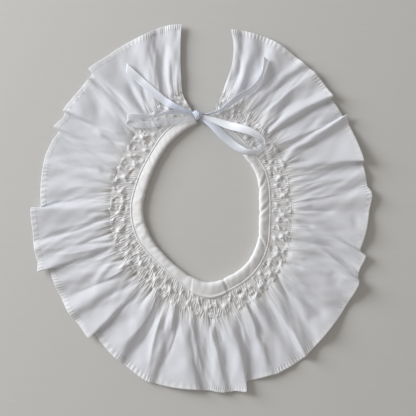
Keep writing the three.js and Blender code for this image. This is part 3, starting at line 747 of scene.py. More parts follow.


# %% Creases laid one by one
# One row for each: from its neck end to its hem end, how far it bows aside, how tall it stands (a
# trough's is negative), how wide it is, and 1 for a sharp edge or 0 for a soft one.
CREASES = table(
    "x0 y0 x1 y1 bow tall wide crisp",
    (-29, 88, -31, 128, 1, -1.3, 2.8, 0), (-25, 90, -23, 132, 2, 1.2, 2.6, 0),
    (-21, 88, -24, 120, 1, -1.3, 1.6, 1), (-18, 86, -19, 114, 1, 1.2, 1.5, 1),
    (-36, 92, -45, 134, -1, 1.1, 3.0, 1), (-43, 75, -58, 101, 2, -2.0, 2.4, 0),
    (-40, 78, -53, 98, 1, 1.3, 2.0, 0), (-82, 70, -90, 98, -2, -1.5, 4.5, 0),
    (-94, 72, -101, 89, 0, 1.3, 4.0, 0), (-70, 51, -85, 63, 0, 1.6, 2.2, 0),
    (-92, 29, -119, 41, -1, 1.3, 1.8, 1), (-66, 25, -90, 42, -2, 1.1, 1.6, 1),
    (-72, 20, -101, 32, -2, 0.9, 1.8, 1), (-73, 27, -81, 30, 0, -1.0, 2.2, 0),
    (-84, 16, -112, 13, -3, 0.9, 1.7, 1), (-72, -4, -90, -8, 0, 1.0, 2.0, 0),
    (-76, -2, -92, -4, 0, -0.9, 2.0, 0), (-78, -9, -127, -24, 2, -1.6, 1.9, 1),
    (-80, -7, -125, -18, 2, 1.1, 2.6, 0), (-70, -27, -97, -29, 0, -1.4, 1.7, 0),
    (-69, -29, -119, -38, 1, 1.4, 1.9, 1), (-72, -31, -89, -39, 1, -1.9, 2.0, 0),
    (-68, -41, -86, -64, -2, 1.8, 2.8, 0), (-60, -42, -65, -49, 0, 1.6, 1.4, 0),
    (-58, -45, -66, -53, 0, -1.2, 1.6, 0), (-54, -46, -78, -59, -1, 1.4, 2.0, 1),
    (-56, -52, -104, -70, -1, -1.1, 1.6, 1), (-52, -58, -78, -71, 1, -2.0, 2.8, 0),
    (-55, -92, -68, -84, 0, -1.2, 4.5, 0), (-38, -76, -62, -107, 3, 1.7, 2.6, 1),
    (-36, -84, -57, -117, 3, -1.7, 1.7, 1), (-29, -78, -42, -130, -2, 2.5, 1.9, 1),
    (-27, -84, -31, -99, 0, -1.5, 1.7, 0), (-22, -82, -25, -99, 0, 1.6, 1.8, 0),
    (-19, -88, -28, -120, 2, -1.8, 1.8, 1), (-13, -84, -11, -138, 0, 1.5, 4.8, 0),
    (-9, -90, 2, -141, 1, 2.2, 2.4, 1), (-3, -90, 8, -141, 1, -1.7, 4.2, 0),
    (4, -88, 18, -140, 1, 1.4, 2.2, 1), (8, -85, 9, -96, 0, -1.2, 1.4, 0),
    (11, -92, 15, -112, 0, -1.4, 1.4, 1), (22, -86, 31, -141, 2, 1.6, 4.0, 0),
    (26, -84, 33, -106, 1, -1.0, 1.8, 0), (32, -74, 44, -105, 3, 2.2, 1.9, 1),
    (38, -78, 49, -107, 3, -2.0, 2.4, 0), (45, -68, 81, -117, 1, -1.2, 1.6, 0),
    (51, -67, 83, -118, 1, 2.8, 2.4, 1), (55, -60, 87, -108, 2, 1.0, 3.0, 0),
    (60, -58, 82, -87, 1, -1.5, 2.8, 0), (84, -89, 99, -85, 0, -1.3, 4.5, 0),
    (103, -51, 111, -59, 0, -1.2, 4.5, 0), (95, -62, 112, -72, 0, 1.0, 4.0, 0),
    (63, 44, 100, 56, 1, 1.9, 2.0, 1), (65, 36, 88, 38, 0, -1.7, 1.6, 1),
    (66, 33, 92, 33, 0, 1.0, 1.8, 0), (72, 13, 109, 25, 2, 1.4, 1.8, 1),
    (78, 9, 118, 22, 2, -1.3, 2.0, 0), (74, 5, 116, 13, 0, 1.8, 2.0, 1),
    (77, -1.5, 107, -2.5, 0, -2.1, 1.5, 1), (73, 1, 88, 3, 0, 1.2, 1.6, 0),
    (75, -4, 98, -3.5, 0, 1.0, 1.6, 0), (76, -10, 90, -15, 0, -1.5, 1.6, 0),
    (73, -12, 127, -38, -2, 2.2, 3.0, 1), (72, -25, 108, -31, -1, -1.4, 1.6, 1),
    (72, -32, 92, -33, 0, 1.0, 2.0, 0), (67, -38, 84, -41, 0, 1.4, 2.2, 0),
    (67, -43, 81, -48, 0, -2.2, 1.9, 0), (63, -52, 82, -64, 0, -1.6, 2.0, 0),
    (122, -3, 125, -20, 0, -0.8, 3.0, 0), (31, 104, 30, 127, 0, -1.0, 2.0, 0),
    (26, 87, 36, 121, -2, 1.5, 2.6, 0), (16, 90, 20, 104, 0, -1.2, 1.2, 0),
    (47, 106, 50, 135, 0, -1.6, 3.2, 0), (64, 108, 54, 134, 0, 1.0, 3.0, 0),
    (51, 92, 61, 109, 0, -1.1, 3.0, 0), (42, 77, 82, 109, -1, 0.9, 2.8, 0),
    (45, 71, 83, 104, 0, 1.4, 1.9, 1), (60, 73, 77, 89, 1, -2.0, 2.8, 0),
    (50, 59, 69, 77, 1, -1.4, 1.5, 1), (50, 56, 71, 73, 1, 1.3, 1.5, 0),
    (91, 60, 99, 73, 0, 1.2, 4.0, 0), (60, 51, 115, 74, -1, 1.4, 2.0, 1),
    (70, 44, 112, 62, -1, -1.4, 3.0, 0), (-60, 60, -84, 66, 1, 1.0, 1.8, 1),
    (-62, 52, -80, 58, 1, -1.4, 1.8, 0), (-60, 80, -88, 108, 0, 1.0, 1.8, 1),
    (-58, 62, -108, 75, 3, -0.8, 2.0, 1), (68, -52, 108, -75, 0, 2.4, 4.5, 0),
    (63, -54, 104, -79, 0, 2.2, 1.8, 1), (65, -60, 101, -86, 0, -3.4, 3.6, 0),
    (97, -34, 126, -55, 0, 1.9, 2.0, 1), (94, -28, 124, -48, 0, -2.2, 2.8, 0),
    (68, -36, 98, -35, 0, 1.2, 1.8, 1),
)
TALL_AS_LAID = 0.68  # the share of its row's height that each crease keeps
FADES_FROM_MIDDLE = 0.43  # share of its length, either way, in which it fades
SHARPEST = 0.85  # how much sharper a sharp crease is than a soft one
print("creases laid by hand:", len(CREASES["tall"]))


def hand_creases(x, y):
    """Millimetres up or down of the listed creases at points of the plan."""
    height = np.zeros_like(x)
    for x0, y0, x1, y1, bow, tall, wide, crisp in zip(*CREASES.values()):
        long = math.hypot(x1 - x0, y1 - y0)
        out_x, out_y = (x1 - x0) / long, (y1 - y0) / long
        along = ((x - x0) * out_x + (y - y0) * out_y) / long
        side = (y - y0) * out_x - (x - x0) * out_y - bow * 4 * along * (1 - along)
        spread = wide * (0.8 + 0.4 * np.clip(along, 0, 1))
        across = (np.abs(side) / spread) ** (2 - SHARPEST * crisp)
        height += TALL_AS_LAID * tall * np.exp(-across - ((along - 0.5) / FADES_FROM_MIDDLE) ** 4)
    return height


# %% Slack in the cloth
chance = np.random.default_rng(3)
SLACK_WAVES = 12
SLACK_LONG = np.geomspace(7, 30, SLACK_WAVES)
SLACK_SLANT = chance.normal(0, 0.22, SLACK_WAVES)
SLACK_START = chance.uniform(0, 2 * math.pi, SLACK_WAVES)
SLACK_TALL = 0.009  # of a wave's length
SWING = 2.0  # millimetres that a wave winds aside
SWING_LONG = 19


def slack(round_mm, out):
    """Low waves, mostly along the folds, that cloth keeps when it has only been smoothed by hand."""
    height = np.zeros(np.broadcast_shapes(round_mm.shape, out.shape))
    for long, slant, start in zip(SLACK_LONG, SLACK_SLANT, SLACK_START):
        swing = SWING * np.sin(out / SWING_LONG + 3 * start)
        height += SLACK_TALL * long * np.sin(2 * math.pi * (round_mm + slant * out + swing) / long + start)
    return height


# %% The cloth's middle sheet
CLOTH_LIFT = 0.35  # height of the middle of cloth that lies on the table
DIPS = 0.1  # how far below that it still comes
SETTLE = 0.25  # how softly lower cloth is eased up
PLEAT_PITCH = 2.6  # millimetres round the collar for each pleat
PUCKERS = 1.4  # ripples in the hem for each pleat
PUCKER_TALL = 0.3
PUCKER_AT = 2.5  # millimetres from the edge where they stand highest
PUCKER_WIDE = 3.5
BUNCHED_SHARE = 0.16  # share of the way out over which the pleats stay bunched
SLACK_FROM = 15  # millimetres beyond the band where the slack is full
FOLDS_FROM = 0.05  # share of the way out where the folds begin to lift the cloth


def above_table(z):
    """Heights eased up so that no cloth sinks into the table."""
    return CLOTH_LIFT - DIPS + SETTLE * np.logaddexp(0, (z - CLOTH_LIFT + DIPS) / SETTLE)


def puckers(pleat, from_hem):
    """Small ripples that the hem's stitches draw up, tighter in one place than in another."""
    wander = 1.5 * np.sin(pleat / 6.1) + 1.1 * np.sin(pleat / 2.7 + 1)
    tight = 0.7 + 0.3 * np.sin(pleat / 4.3) + 0.2 * np.sin(pleat / 1.7)
    ripple = PUCKER_TALL * tight * np.sin(2 * np.pi * pleat * PUCKERS + wander)
    return ripple * np.exp(-(((from_hem - PUCKER_AT) / PUCKER_WIDE) ** 2))


def ruffle_points(pleat, out):
    """The ruffle's middle sheet at each pleat (columns) and share of the way out (rows)."""
    hem = hem_at(pleat)
    out = out[:, None]
    still_bunched = np.exp(-((out / BUNCHED_SHARE) ** 2))
    start = mix(pleat, bunched(pleat, np.ones_like(pleat)), still_bunched)
    band_angle = ring_angle("band", start)
    band_radius = curve(RINGS, "at", "band", band_angle)
    angle = mix(band_angle, hem["angle"], out**1.15) + hem["sway"] * np.sin(np.pi * out)
    radius = mix(band_radius, hem["radius"], out)
    lifted = hem["height"] * out**0.8 * (1 - np.exp(-out / FOLDS_FROM))
    base = place(angle, radius, CLOTH_LIFT + lifted)
    distance = (hem["radius"] - band_radius) * out
    pleat = pleat[None, :]
    points = raised(base, relief(pleat, distance))
    points[..., 2] += hand_creases(points[..., 0], points[..., 1])
    points[..., 2] += slack(pleat * PLEAT_PITCH, distance) * np.clip(distance / SLACK_FROM, 0, 1)
    points[..., 2] += puckers(pleat, hem["radius"] - band_radius - distance)
    points[..., 2] = above_table(points[..., 2])
    return points


# %% The cloth beyond the smocking
CLOTH_WALL = 0.3
STRIP_LONG = 1150  # the strip's length before it was gathered
HEM_SHARE = 0.93  # share of the way out where the hem begins
TUCKED_IN = 0.02  # share that the cloth runs on into it
BAND_REACH = 80  # about how far from the centre the band's edge lies

columns = np.linspace(0, PLEATS, PLEATS * 4 + 1)
rows = np.linspace(0, 1, 43) ** 1.25 * (HEM_SHARE + TUCKED_IN)
past_band = rows[:, None] * (hem_at(columns)["radius"] - BAND_REACH)
# deep is the share of painted pit shade at each point.
deep = pit_shade_share(relief(columns[None, :], past_band), past_band)
ruffle = cloth("ruffle_cloth", ruffle_points(columns, rows), CLOTH_WALL, lawn, STRIP_LONG, deep)

# %% Side hems at the two free ends
# Pleats from the free end for each line of points; the last two lie close, so the edge stays crisp.
SIDE_HEM = np.array([0, 0.2, 0.4, 0.6, 0.8, 1.0, 1.19, 1.2])
SIDE_HEM_WALL = 0.5
rows = np.linspace(0.02, 0.99, 60)
side_hems = [
    cloth("side_hem_" + side, ruffle_points(columns, rows), SIDE_HEM_WALL, lawn_hem)
    for side, columns in (("left", SIDE_HEM), ("right", PLEATS - SIDE_HEM[::-1]))
]

# %% [markdown]
# ## The hem
# A double hem is three layers of lawn, so it looks whiter and stiffer than the cloth inside it, and the
# machine's stitches draw it into tiny puckers. It is a strip of its own, thicker than the ruffle.

# %% Hem with puckers
HEM_WALL = 0.42
HEM_EDGE = 0.0004  # its first two rows lie this close, so the sewn edge stays crisp

columns = np.linspace(0, PLEATS, PLEATS * 7 + 1)
rows = np.concatenate([[HEM_SHARE], np.linspace(HEM_SHARE + HEM_EDGE, 1, 7)])
hem_strip = cloth("hem_fold", ruffle_points(columns, rows), HEM_WALL, lawn_hem, STRIP_LONG)

# %% [markdown]
# ## The smocked band
# Real smocking is the whole cloth drawn up into tube-like pleats, and then held by surface stitches
# that pull neighbouring pleats together. Where they pull, the pleats bunch and stand up; between, they
# open into a diamond-shaped pocket. Each pleat is modelled, bunched sideways and raised by the lattice.

# %% Pleats, bunched and raised
BAND_WALL = 0.25
BAND_FROM, BAND_TO = -0.12, 1.02  # from under the binding to just past where the open cloth starts
HEAPS_RISE_IN = 0.12  # share of the band, out from the seam, in which the heaps reach full height


def band_points(pleat, share):
    """The smocked band at each pleat (columns) and share of the way from seam to outer edge (rows)."""
    share = share[:, None]
    pleat = pleat[None, :]
    moved = bunched(pleat, share)
    seam_angle, band_angle = ring_angle("seam", moved), ring_angle("band", moved)
    seam = place(seam_angle, curve(RINGS, "at", "seam", seam_angle))
    edge = place(band_angle, curve(RINGS, "at", "band", band_angle))
    points = mix(seam, edge, share[..., None])
    tucked = np.clip((HEAPS_RISE_IN - share) / HEAPS_RISE_IN, 0, 1)
    standing = relief(pleat, (share - 1) * BAND_WIDE)
    points[..., 2] = CLOTH_LIFT + mix(standing, BAND_STANDS + pleat_tops(pleat, share), tucked)
    return points


columns, rows = np.linspace(0, PLEATS, PLEATS * 6 + 1), np.linspace(BAND_FROM, BAND_TO, 28)
past_band = (rows[:, None] - 1) * BAND_WIDE
# deep is the share of painted pit shade at each point.
deep = pit_shade_share(relief(columns[None, :], past_band), past_band)
band_sheet = cloth("smocked_band", band_points(columns, rows), BAND_WALL, lawn_pleats, STRIP_LONG, deep)

# %% [markdown]
# ## The neck binding
# The binding is a bias strip folded over the pleats' raw edge, so it is one sheet that runs from its
# outer edge on top, round the fold at the neck and back underneath. Bias cloth drags as it is turned
# round a curve, which leaves slanting creases, and the edge stitching sinks a fine groove. At the front
# the binding was joined, and one layer is laid over the other for about 25 mm. Its left end runs on
# under the knot, which presses it down.

# %% The binding's section and drags
# Stations right round the section: out is a share of the way from neck to seam, z a height.
BINDING_PROFILE = table(
    "along out z",
    (0, 1.01, 2.2), (1, 1.0, 2.8), (2, 0.96, 3.15), (3, 0.91, 3.1), (4, 0.87, 2.75), (5, 0.82, 3.0),
    (6, 0.68, 3.5), (7, 0.48, 4.05), (8, 0.28, 4.4), (9, 0.1, 4.1), (10, 0.0, 2.7), (11, 0.02, 1.3),
    (12, 0.12, 0.45), (13, 0.4, 0.35), (14, 0.7, 0.35), (15, 0.95, 0.35),
)
# The drags that show most: where each lies, in degrees, how far round it runs from the neck to the
# outer edge, and how tall and wide it is.
DRAGS = table(
    "at slant tall wide",
    (290, 11, -0.75, 1.9), (294, 11, 0.45, 2.0), (267.5, 11, -0.7, 1.8), (271, 10, 0.45, 2.2),
    (263, 10, 0.35, 1.8), (237.6, -8, -0.6, 1.8), (240.6, -8, 0.4, 1.9), (247, 5, -0.3, 1.8),
    (255, 6, 0.3, 2.4), (280, 9, 0.3, 2.4), (106.5, -2, 0.45, 1.3), (109.3, 5, -0.5, 1.9),
    (97, -8, -0.25, 2.4), (87, 9, 0.25, 2.8), (73, -9, -0.25, 2.4), (61, 10, 0.25, 2.8),
    (50, -7, -0.25, 2.0), (33, 6, -0.3, 2.4), (119, 8, 0.3, 2.4), (130, -8, -0.35, 2.2),
    (145, 7, 0.3, 2.8), (153, -7, -0.3, 2.0), (166, -5, -0.6, 2.6), (181, 4, -0.2, 1.8),
    (188, 0, 0.25, 2.4), (196.6, 1, -1.2, 0.9), (205, 6, 0.3, 2.2), (217, -7, -0.4, 2.0),
    (227, 8, 0.3, 2.4), (305, -8, -0.4, 2.4), (318, 8, 0.3, 2.6), (332, -7, -0.3, 2.4),
)
NECK_FOLD = 10  # the station at the neck; those before it are the upper side
print("drags in the binding:", len(DRAGS["at"]))

# %% Binding sheet
BINDING_WALL = 0.45
LOWER_LAYER = 0.35
# The lapped join: its two ends and the steps up to it, in degrees, and how high it is laid.
JOIN = {"from": 173.2, "to": 196.4, "lift": 0.7, "step": 0.5}
# The end under the knot: degrees that it runs on and that this is spread over, and its share pressed.
RUNS_ON = 2.9
END_REACH = 9.0
END_PRESSED = 0.5
# Drags too low to show alone, how far a drag bends the neck edge, and where the edge's groove lies.
FINE_DRAG = 0.12
NECK_DRAG = 0.7
GROOVE_AT, GROOVE_WIDE = 0.88, 0.06
GROOVE_FILLED = 0.5
OVERHANG = 0.06  # share that the layer laid over is wider


def binding_points(angle, along):
    """The binding's sheet at each angle (columns) and station of its section (rows)."""
    out = curve(BINDING_PROFILE, "along", "out", along)[:, None]
    z = curve(BINDING_PROFILE, "along", "z", along)[:, None]
    near_end = np.clip(1 - (angle - ENDS["binding"][0]) / END_REACH, 0, 1)[None, :] ** 2
    angle = angle[None, :] - RUNS_ON * near_end * (1 - out)
    z = LOWER_LAYER + (z - LOWER_LAYER) * (1 - END_PRESSED * near_end)
    hole = curve(RINGS, "at", "hole", angle)
    wide = curve(RINGS, "at", "seam", angle) - hole
    drag = np.zeros(angle.shape)
    for at, slant, tall, spread in zip(*DRAGS.values()):
        drag += tall * np.exp(-(((angle - at - slant * (out - 0.5)) / spread) ** 2))
    drag += FINE_DRAG * np.sin(angle * 0.9 + 2) * np.sin(angle * 0.31 + 4 * out)
    station = along[:, None]
    upper = (station < NECK_FOLD) * np.clip(out * 4, 0, 1) * np.clip((0.9 - out) * 4, 0, 1)
    hole = hole - NECK_DRAG * np.clip(drag, -1, 0.4) * (out < 0.5) * (station < NECK_FOLD + 2)
    steps_up = np.clip((angle - JOIN["from"]) / JOIN["step"], 0, 1)
    steps_down = np.clip((JOIN["to"] - angle) / JOIN["step"], 0, 1)
    laid_over = steps_up * steps_down * (station < NECK_FOLD + 1)
    groove_filled = GROOVE_FILLED * np.exp(-(((out - GROOVE_AT) / GROOVE_WIDE) ** 2))
    z = z + laid_over * (JOIN["lift"] + groove_filled) * np.clip(out * 4 + 0.3, 0, 1)
    return place(angle, hole + wide * out * (1 + OVERHANG * laid_over), z + drag * upper)


round_neck, section = np.linspace(*ENDS["binding"], 561), np.linspace(15, 0, 46)
binding = cloth("binding_fold", binding_points(round_neck, section)[::-1], BINDING_WALL, bias)

# %% [markdown]
# ## Stitches
# A stitch is modelled once: a short cylinder whose ends are pinched in. Every other stitch is a copy of
# its points, turned and stretched to its own place, and all that do one job are one mesh. Those of the
# smocking are laid over each cluster, and those of the edge and the hem run in lines.

# %% One stitch
bpy.ops.object.select_all(action="DESELECT")
bpy.ops.mesh.primitive_cylinder_add(vertices=6, radius=0.5, depth=1.0, end_fill_type="TRIFAN")
stitch = bpy.context.object
bpy.ops.object.mode_set(mode="EDIT")
bpy.ops.mesh.select_all(action="SELECT")
bpy.ops.mesh.subdivide(number_cuts=1)
bpy.ops.object.mode_set(mode="OBJECT")
upright = np.array([v.co[:] for v in stitch.data.vertices])
upright[:, :2] *= (1 - 0.75 * np.abs(upright[:, 2:]) ** 2 * 4) * 0.9 + 0.1
STITCH_POINTS = upright[:, [2, 0, 1]]
STITCH_FACES = [tuple(p.vertices) for p in stitch.data.polygons]
bpy.data.objects.remove(stitch)
print("one stitch:", len(STITCH_FACES), "faces")


# %% Many stitches as one mesh
def stitches(name, starts, ends, thick, finish):
    """Stitches from each start to each end, in millimetres."""
    lengthwise = ends - starts
    long = np.linalg.norm(lengthwise, axis=1, keepdims=True)
    lengthwise = lengthwise / long
    side = np.cross([0, 0, 1.0], lengthwise)
    side /= np.linalg.norm(side, axis=1, keepdims=True)
    up = np.cross(lengthwise, side)
    middle = (starts + ends) / 2
    points = (
        middle[:, None]
        + lengthwise[:, None] * STITCH_POINTS[None, :, 0:1] * long[:, None]
        + side[:, None] * STITCH_POINTS[None, :, 1:2] * thick
        + up[:, None] * STITCH_POINTS[None, :, 2:3] * thick
    ).reshape(-1, 3)
    count = len(STITCH_POINTS)
    faces = [tuple(k + s * count for k in face) for s in range(len(starts)) for face in STITCH_FACES]
    made = new_piece(name, points, faces, points[:, :2] * MM, finish)
    shade_smooth(made)
    print(name, len(starts), "stitches")
    return made


# %% Smocking stitches over every cluster
SMOCKING_THREAD, EDGE_THREAD, HEM_THREAD = 0.4, 0.2, 0.1
# One row for each ring; the third holds the outer edge, where the tongues open.
STITCH_ROWS = table("band phase", (0.28, 0.5), (0.60, 0.0), (0.93, 0.5))
STITCH_HALF = 0.6  # pleats
STITCH_STANDS = 0.12


def smocking_rows():
    """Start and end of the stitches that hold each cluster: one over each of its middle pleats."""
    starts, ends = [], []
    for r, (band, phase) in enumerate(zip(*STITCH_ROWS.values())):
        for k in range(REPEATS):
            middle = (k + phase + uneven_at[r][k]) * PLEATS_A_REPEAT
            share = np.array([band + uneven_band[r][k]])
            for pleat in np.round(middle) + np.array([-1, 0, 1]):
                if 1 < pleat < PLEATS - 1:
                    ring = band_points(pleat + np.array([-STITCH_HALF, 0.0, STITCH_HALF]), share)[0]
                    top = ring[1, 2] + STITCH_STANDS
                    starts.append((*ring[0, :2], top))
                    ends.append((*ring[2, :2], top))
    return np.array(starts), np.array(ends)


smocking = stitches("smocking_stitches", *smocking_rows(), SMOCKING_THREAD, thread)

# %% Edge stitching on the binding
EDGE_SHARE = 0.87  # share of the binding's width, out from the neck
EDGE_HEIGHT = 2.9
EDGE_GAP, HEM_GAP = 0.18, 0.3


def stitched_line(points, gap):
    """Starts and ends of stitches along a line of points, a share of each step being left as a gap."""
    return points[:-1] + (points[1:] - points[:-1]) * gap, points[1:]


angles = np.linspace(6.0, 354.0, 165)
hole, seam = curve(RINGS, "at", "hole", angles), curve(RINGS, "at", "seam", angles)
starts, ends = stitched_line(place(angles, mix(hole, seam, EDGE_SHARE), EDGE_HEIGHT), EDGE_GAP)
on_show = (angles[1:] < JOIN["from"]) | (angles[:-1] > JOIN["to"])
edge_stitching = stitches("binding_stitches", starts[on_show], ends[on_show], EDGE_THREAD, thread)

# %% Hem stitching
columns = np.linspace(0.3, PLEATS - 0.3, 430)
line = ruffle_points(columns, np.linspace(HEM_SHARE, 1, 7))[1] + np.array([0, 0, HEM_WALL / 2])
hem_stitching = stitches("hem_stitches", *stitched_line(line, HEM_GAP), HEM_THREAD, lawn_hem)

# %% [markdown]
# ## The ribbon
# The ribbon is narrow satin, 6 mm wide. Each stretch follows a short table of stations: where its middle
# goes, how much of its width is open, which way that width points, and how far it is tipped on edge.
# The loops' tables say how high they stand. The tails lie on whatever is under them, which a ray
# dropped from above finds, or a little over it. Each strand starts inside the knot.

# %% What lies under a point
RAY_FROM = 0.1


def tree_below(pieces):
    """One search tree over all the faces of some pieces."""
    points, faces = [], []
    for piece in pieces:
        start = len(points)
        points += [v.co.copy() for v in piece.data.vertices]
        faces += [tuple(start + k for k in p.vertices) for p in piece.data.polygons]
    return BVHTree.FromPolygons(points, faces)


below = tree_below([ruffle, hem_strip, band_sheet, binding])


def height_at(x, y):
    """The height in millimetres of the cloth, or of the table, at a place in the plan."""
    hit = below.ray_cast(Vector((x * MM, y * MM, RAY_FROM)), Vector((0, 0, -1)))[0]
    return hit.z / MM if hit else 0.0


print("the cloth under the left tail is", round(height_at(-30.0, 86.3), 1), "mm up")

# %% Ribbon tables
LEFT_TAIL = table(
    "x y width over heading tilt",
    (-5.2, 75.6, 3.0, 0.1, 84, 66), (-14.7, 79.1, 4.6, 0, 74, 60), (-22.0, 81.6, 6.0, 0, 66, 40),
    (-30.0, 86.3, 6.0, 0, 54, 12), (-42.7, 97.1, 6.0, 0.3, 48, 0), (-52.0, 105.4, 6.0, 0.7, 47, 0),
    (-60.0, 112.6, 6.0, 1.1, 47, 0),
)
RIGHT_TAIL = table(
    "x y width over heading tilt",
    (-0.6, 74.8, 2.8, 0.1, 92, 66), (9.0, 76.2, 3.2, 0.6, 105, 68), (16.0, 78.6, 4.6, 0, 122, 64),
    (22.0, 82.9, 6.0, 0, 130, 56), (31.5, 90.0, 6.0, 0.2, 122, 44), (40.5, 95.2, 6.0, 0.3, 130, 42),
    (46.6, 102.6, 6.0, 0.3, 148, 64), (49.8, 110.7, 6.0, 0.3, 160, 70), (51.6, 119.6, 6.0, 0.3, 168, 48),
)
LEFT_LOOP = table(
    "x y z width heading tilt",
    (-5.2, 74.2, 6.0, 2.6, 90, 50), (-13.0, 76.0, 7.6, 4.6, 98, 64), (-22.0, 76.8, 8.2, 6.0, 92, 66),
    (-32.0, 74.8, 8.4, 6.0, 76, 66), (-42.0, 73.0, 8.8, 6.0, 80, 66), (-50.0, 73.0, 9.4, 6.0, 88, 52),
    (-56.6, 72.6, 9.4, 6.0, 88, 30), (-59.4, 70.8, 7.9, 6.0, 88, 16), (-58.2, 69.2, 6.4, 6.0, 88, 10),
    (-54.6, 67.8, 5.5, 6.0, 88, 6), (-48.0, 66.8, 5.6, 6.0, 88, 4), (-38.0, 67.4, 5.5, 6.0, 92, 0),
    (-26.0, 69.4, 5.5, 6.0, 96, 0), (-14.0, 70.8, 5.4, 4.4, 92, 0), (-5.2, 72.8, 4.8, 2.4, 90, 0),
)
RIGHT_LOOP = table(
    "x y z width heading tilt",
    (-0.8, 73.0, 4.4, 3.0, 76, 0), (8.0, 67.4, 5.7, 6.2, 56, -12), (14.6, 61.0, 6.2, 7.2, 48, -20),
    (21.6, 54.4, 6.2, 6.8, 50, -14), (28.6, 48.8, 6.5, 6.2, 58, 10), (36.0, 45.4, 7.5, 6.0, 70, 46),
    (43.6, 45.2, 7.9, 6.0, 84, 56), (48.4, 47.4, 8.5, 6.0, 90, 54), (50.6, 50.8, 9.6, 6.0, 92, 48),
    (49.4, 54.0, 12.0, 6.0, 86, 40), (45.4, 57.4, 14.0, 6.0, 78, 28), (39.0, 60.8, 14.6, 6.0, 72, 12),
    (31.0, 63.6, 13.0, 6.4, 68, -8), (21.0, 66.4, 8.8, 6.4, 70, -14), (11.0, 70.0, 6.6, 4.4, 74, -4),
    (-0.8, 74.0, 5.4, 2.4, 84, 0),
)

# %% Ribbon sheets
RIBBON_WALL = 0.3
ACROSS = np.linspace(-1, 1, 9)
RESTS_AT = 0.25  # the middle of a tail over what it lies on
CUPPED = 0.35  # how far the ribbon's middle stands out of its edges


def ribbon(name, rows, steps, finish, slant=0.0):
    """A ribbon along a table of stations; its far end is cut aslant by so many millimetres."""
    count = len(rows["x"])
    keyed = {**rows, "i": np.arange(count, dtype=float)}
    at = np.linspace(0, count - 1, steps + 1)
    x, y, width, heading, tilt = (curve(keyed, "i", c, at) for c in ("x", "y", "width", "heading", "tilt"))
    heading, tilt = np.radians(heading), np.radians(tilt)
    side = np.stack([np.cos(tilt) * np.cos(heading), np.cos(tilt) * np.sin(heading), np.sin(tilt)], -1)
    side *= width[:, None] / 2
    if "z" in rows:
        z = curve(keyed, "i", "z", at)
    else:
        over = curve(keyed, "i", "over", at)
        under = [
            max(height_at(x[s] + k * side[s, 0], y[s] + k * side[s, 1]) for k in ACROSS)
            for s in range(steps + 1)
        ]
        spread = [max(under[max(0, s - 2) : s + 3]) for s in range(steps + 1)]
        spread = np.convolve(np.pad(spread, 2, "edge"), np.ones(5) / 5, "valid")
        z = spread + RESTS_AT + over + side[:, 2]
    middle = np.stack([x, y, z], -1)
    along = np.gradient(middle, axis=0)
    along /= np.linalg.norm(along, axis=1, keepdims=True)
    face = np.cross(along, side)
    face /= np.linalg.norm(face, axis=1, keepdims=True)
    ends = slant * np.clip((at - (count - 1.6)) / 0.6, 0, 1)
    curl = CUPPED * (1 - ACROSS**2)
    points = (
        middle[:, None]
        + side[:, None] * ACROSS[None, :, None]
        + along[:, None] * (ends[:, None] * ACROSS[None, :])[..., None]
        + face[:, None] * curl[None, :, None]
    )
    return cloth(name, points, RIBBON_WALL, finish)


left_tail = ribbon("tail_left", LEFT_TAIL, 60, ribbon_satin, 2.2)
right_tail = ribbon("tail_right", RIGHT_TAIL, 70, ribbon_satin, 0.8)
left_loop = ribbon("loop_left", LEFT_LOOP, 110, loop_satin)
right_loop = ribbon("loop_right", RIGHT_LOOP, 120, ribbon_satin)

# %% [markdown]
# ## The knot
# A tied knot shows three wraps of the same ribbon: two that cross and one drawn over them. Each is a
# flattened ring, creased lengthwise, and its underside is kept above the table.

# %% Knot
# One row for each wrap: its middle, its half sizes, how far it slants in degrees, and its width.
WRAPS = table(
    "x y z deep high slant width",
    (-3.9, 74.4, 5.1, 3.8, 2.4, 24, 4.0), (-2.0, 73.8, 4.7, 3.5, 2.4, -32, 3.4),
    (-3.0, 74.1, 5.1, 3.3, 2.9, -4, 3.0),
)
LOWEST = 0.2  # how low the middle of a wrap's sheet comes
CREASE_DEEP = 0.22
EDGE_TURNED_IN = 0.8


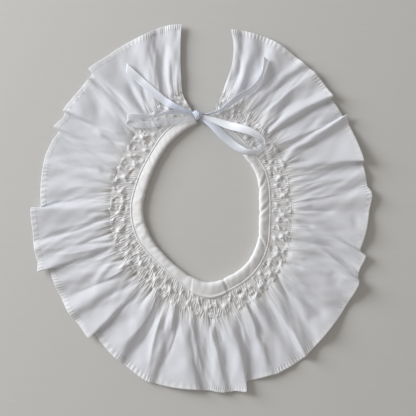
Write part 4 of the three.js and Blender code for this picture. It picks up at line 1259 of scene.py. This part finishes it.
def wrap(name, x, y, z, deep, high, slant, width):
    """A band of ribbon right round the knot, creased lengthwise where it is drawn tight."""
    turn = np.linspace(0, 2 * np.pi, 73)[:, None]
    across = np.linspace(-1, 1, 15)[None, :]
    crease = CREASE_DEEP * np.cos(3.1 * np.pi * across + 0.8 * np.sin(turn)) - EDGE_TURNED_IN * across**4
    side = width / 2 * across * (1 + 0.18 * np.cos(turn))
    out = np.stack(
        np.broadcast_arrays(side, (deep + crease) * np.cos(turn), (high + crease) * np.sin(turn)), axis=-1
    )
    cosine, sine = math.cos(math.radians(slant)), math.sin(math.radians(slant))
    points = np.empty_like(out)
    points[..., 0] = x + out[..., 0] * cosine - out[..., 1] * sine
    points[..., 1] = y + out[..., 0] * sine + out[..., 1] * cosine
    points[..., 2] = np.clip(z + out[..., 2], LOWEST, None)
    return cloth(name, points, RIBBON_WALL, ribbon_satin)


knot = [wrap("knot_wrap_" + str(k + 1), *row) for k, row in enumerate(zip(*WRAPS.values()))]

# %% [markdown]
# ## Tying the pieces to the imported model
# Each piece rides on the part's one body, and the solid that it stands for is hidden; stitches stand
# for no solid. Cloth is declared with the flat size of what shows. The real band's pleats are deeper
# than those shaped here, so the strip's whole cut is larger.

# %% Ride and replace
PLACES = [
    (ruffle, "smocked_ruffle", "cotton_lawn"),
    *((hem, "smocked_ruffle", "cotton_lawn") for hem in side_hems),
    (hem_strip, "smocked_ruffle", "cotton_lawn"),
    (band_sheet, "smocked_ruffle", "cotton_lawn"),
    (binding, "neck_binding", "cotton_binding"),
    (smocking, None, "cotton_lawn"),
    (edge_stitching, None, "cotton_binding"),
    (hem_stitching, None, "cotton_lawn"),
    (left_tail, "ribbon_left_tail", "satin_ribbon"),
    (right_tail, "ribbon_right_tail", "satin_ribbon"),
    (left_loop, "ribbon_left_loop", "satin_ribbon"),
    (right_loop, "ribbon_right_loop", "satin_ribbon"),
    *((turn, "bow_knot", "satin_ribbon") for turn in knot),
]
for piece, solid, slot in PLACES:
    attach(piece, "root")
    if solid:
        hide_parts(solid)
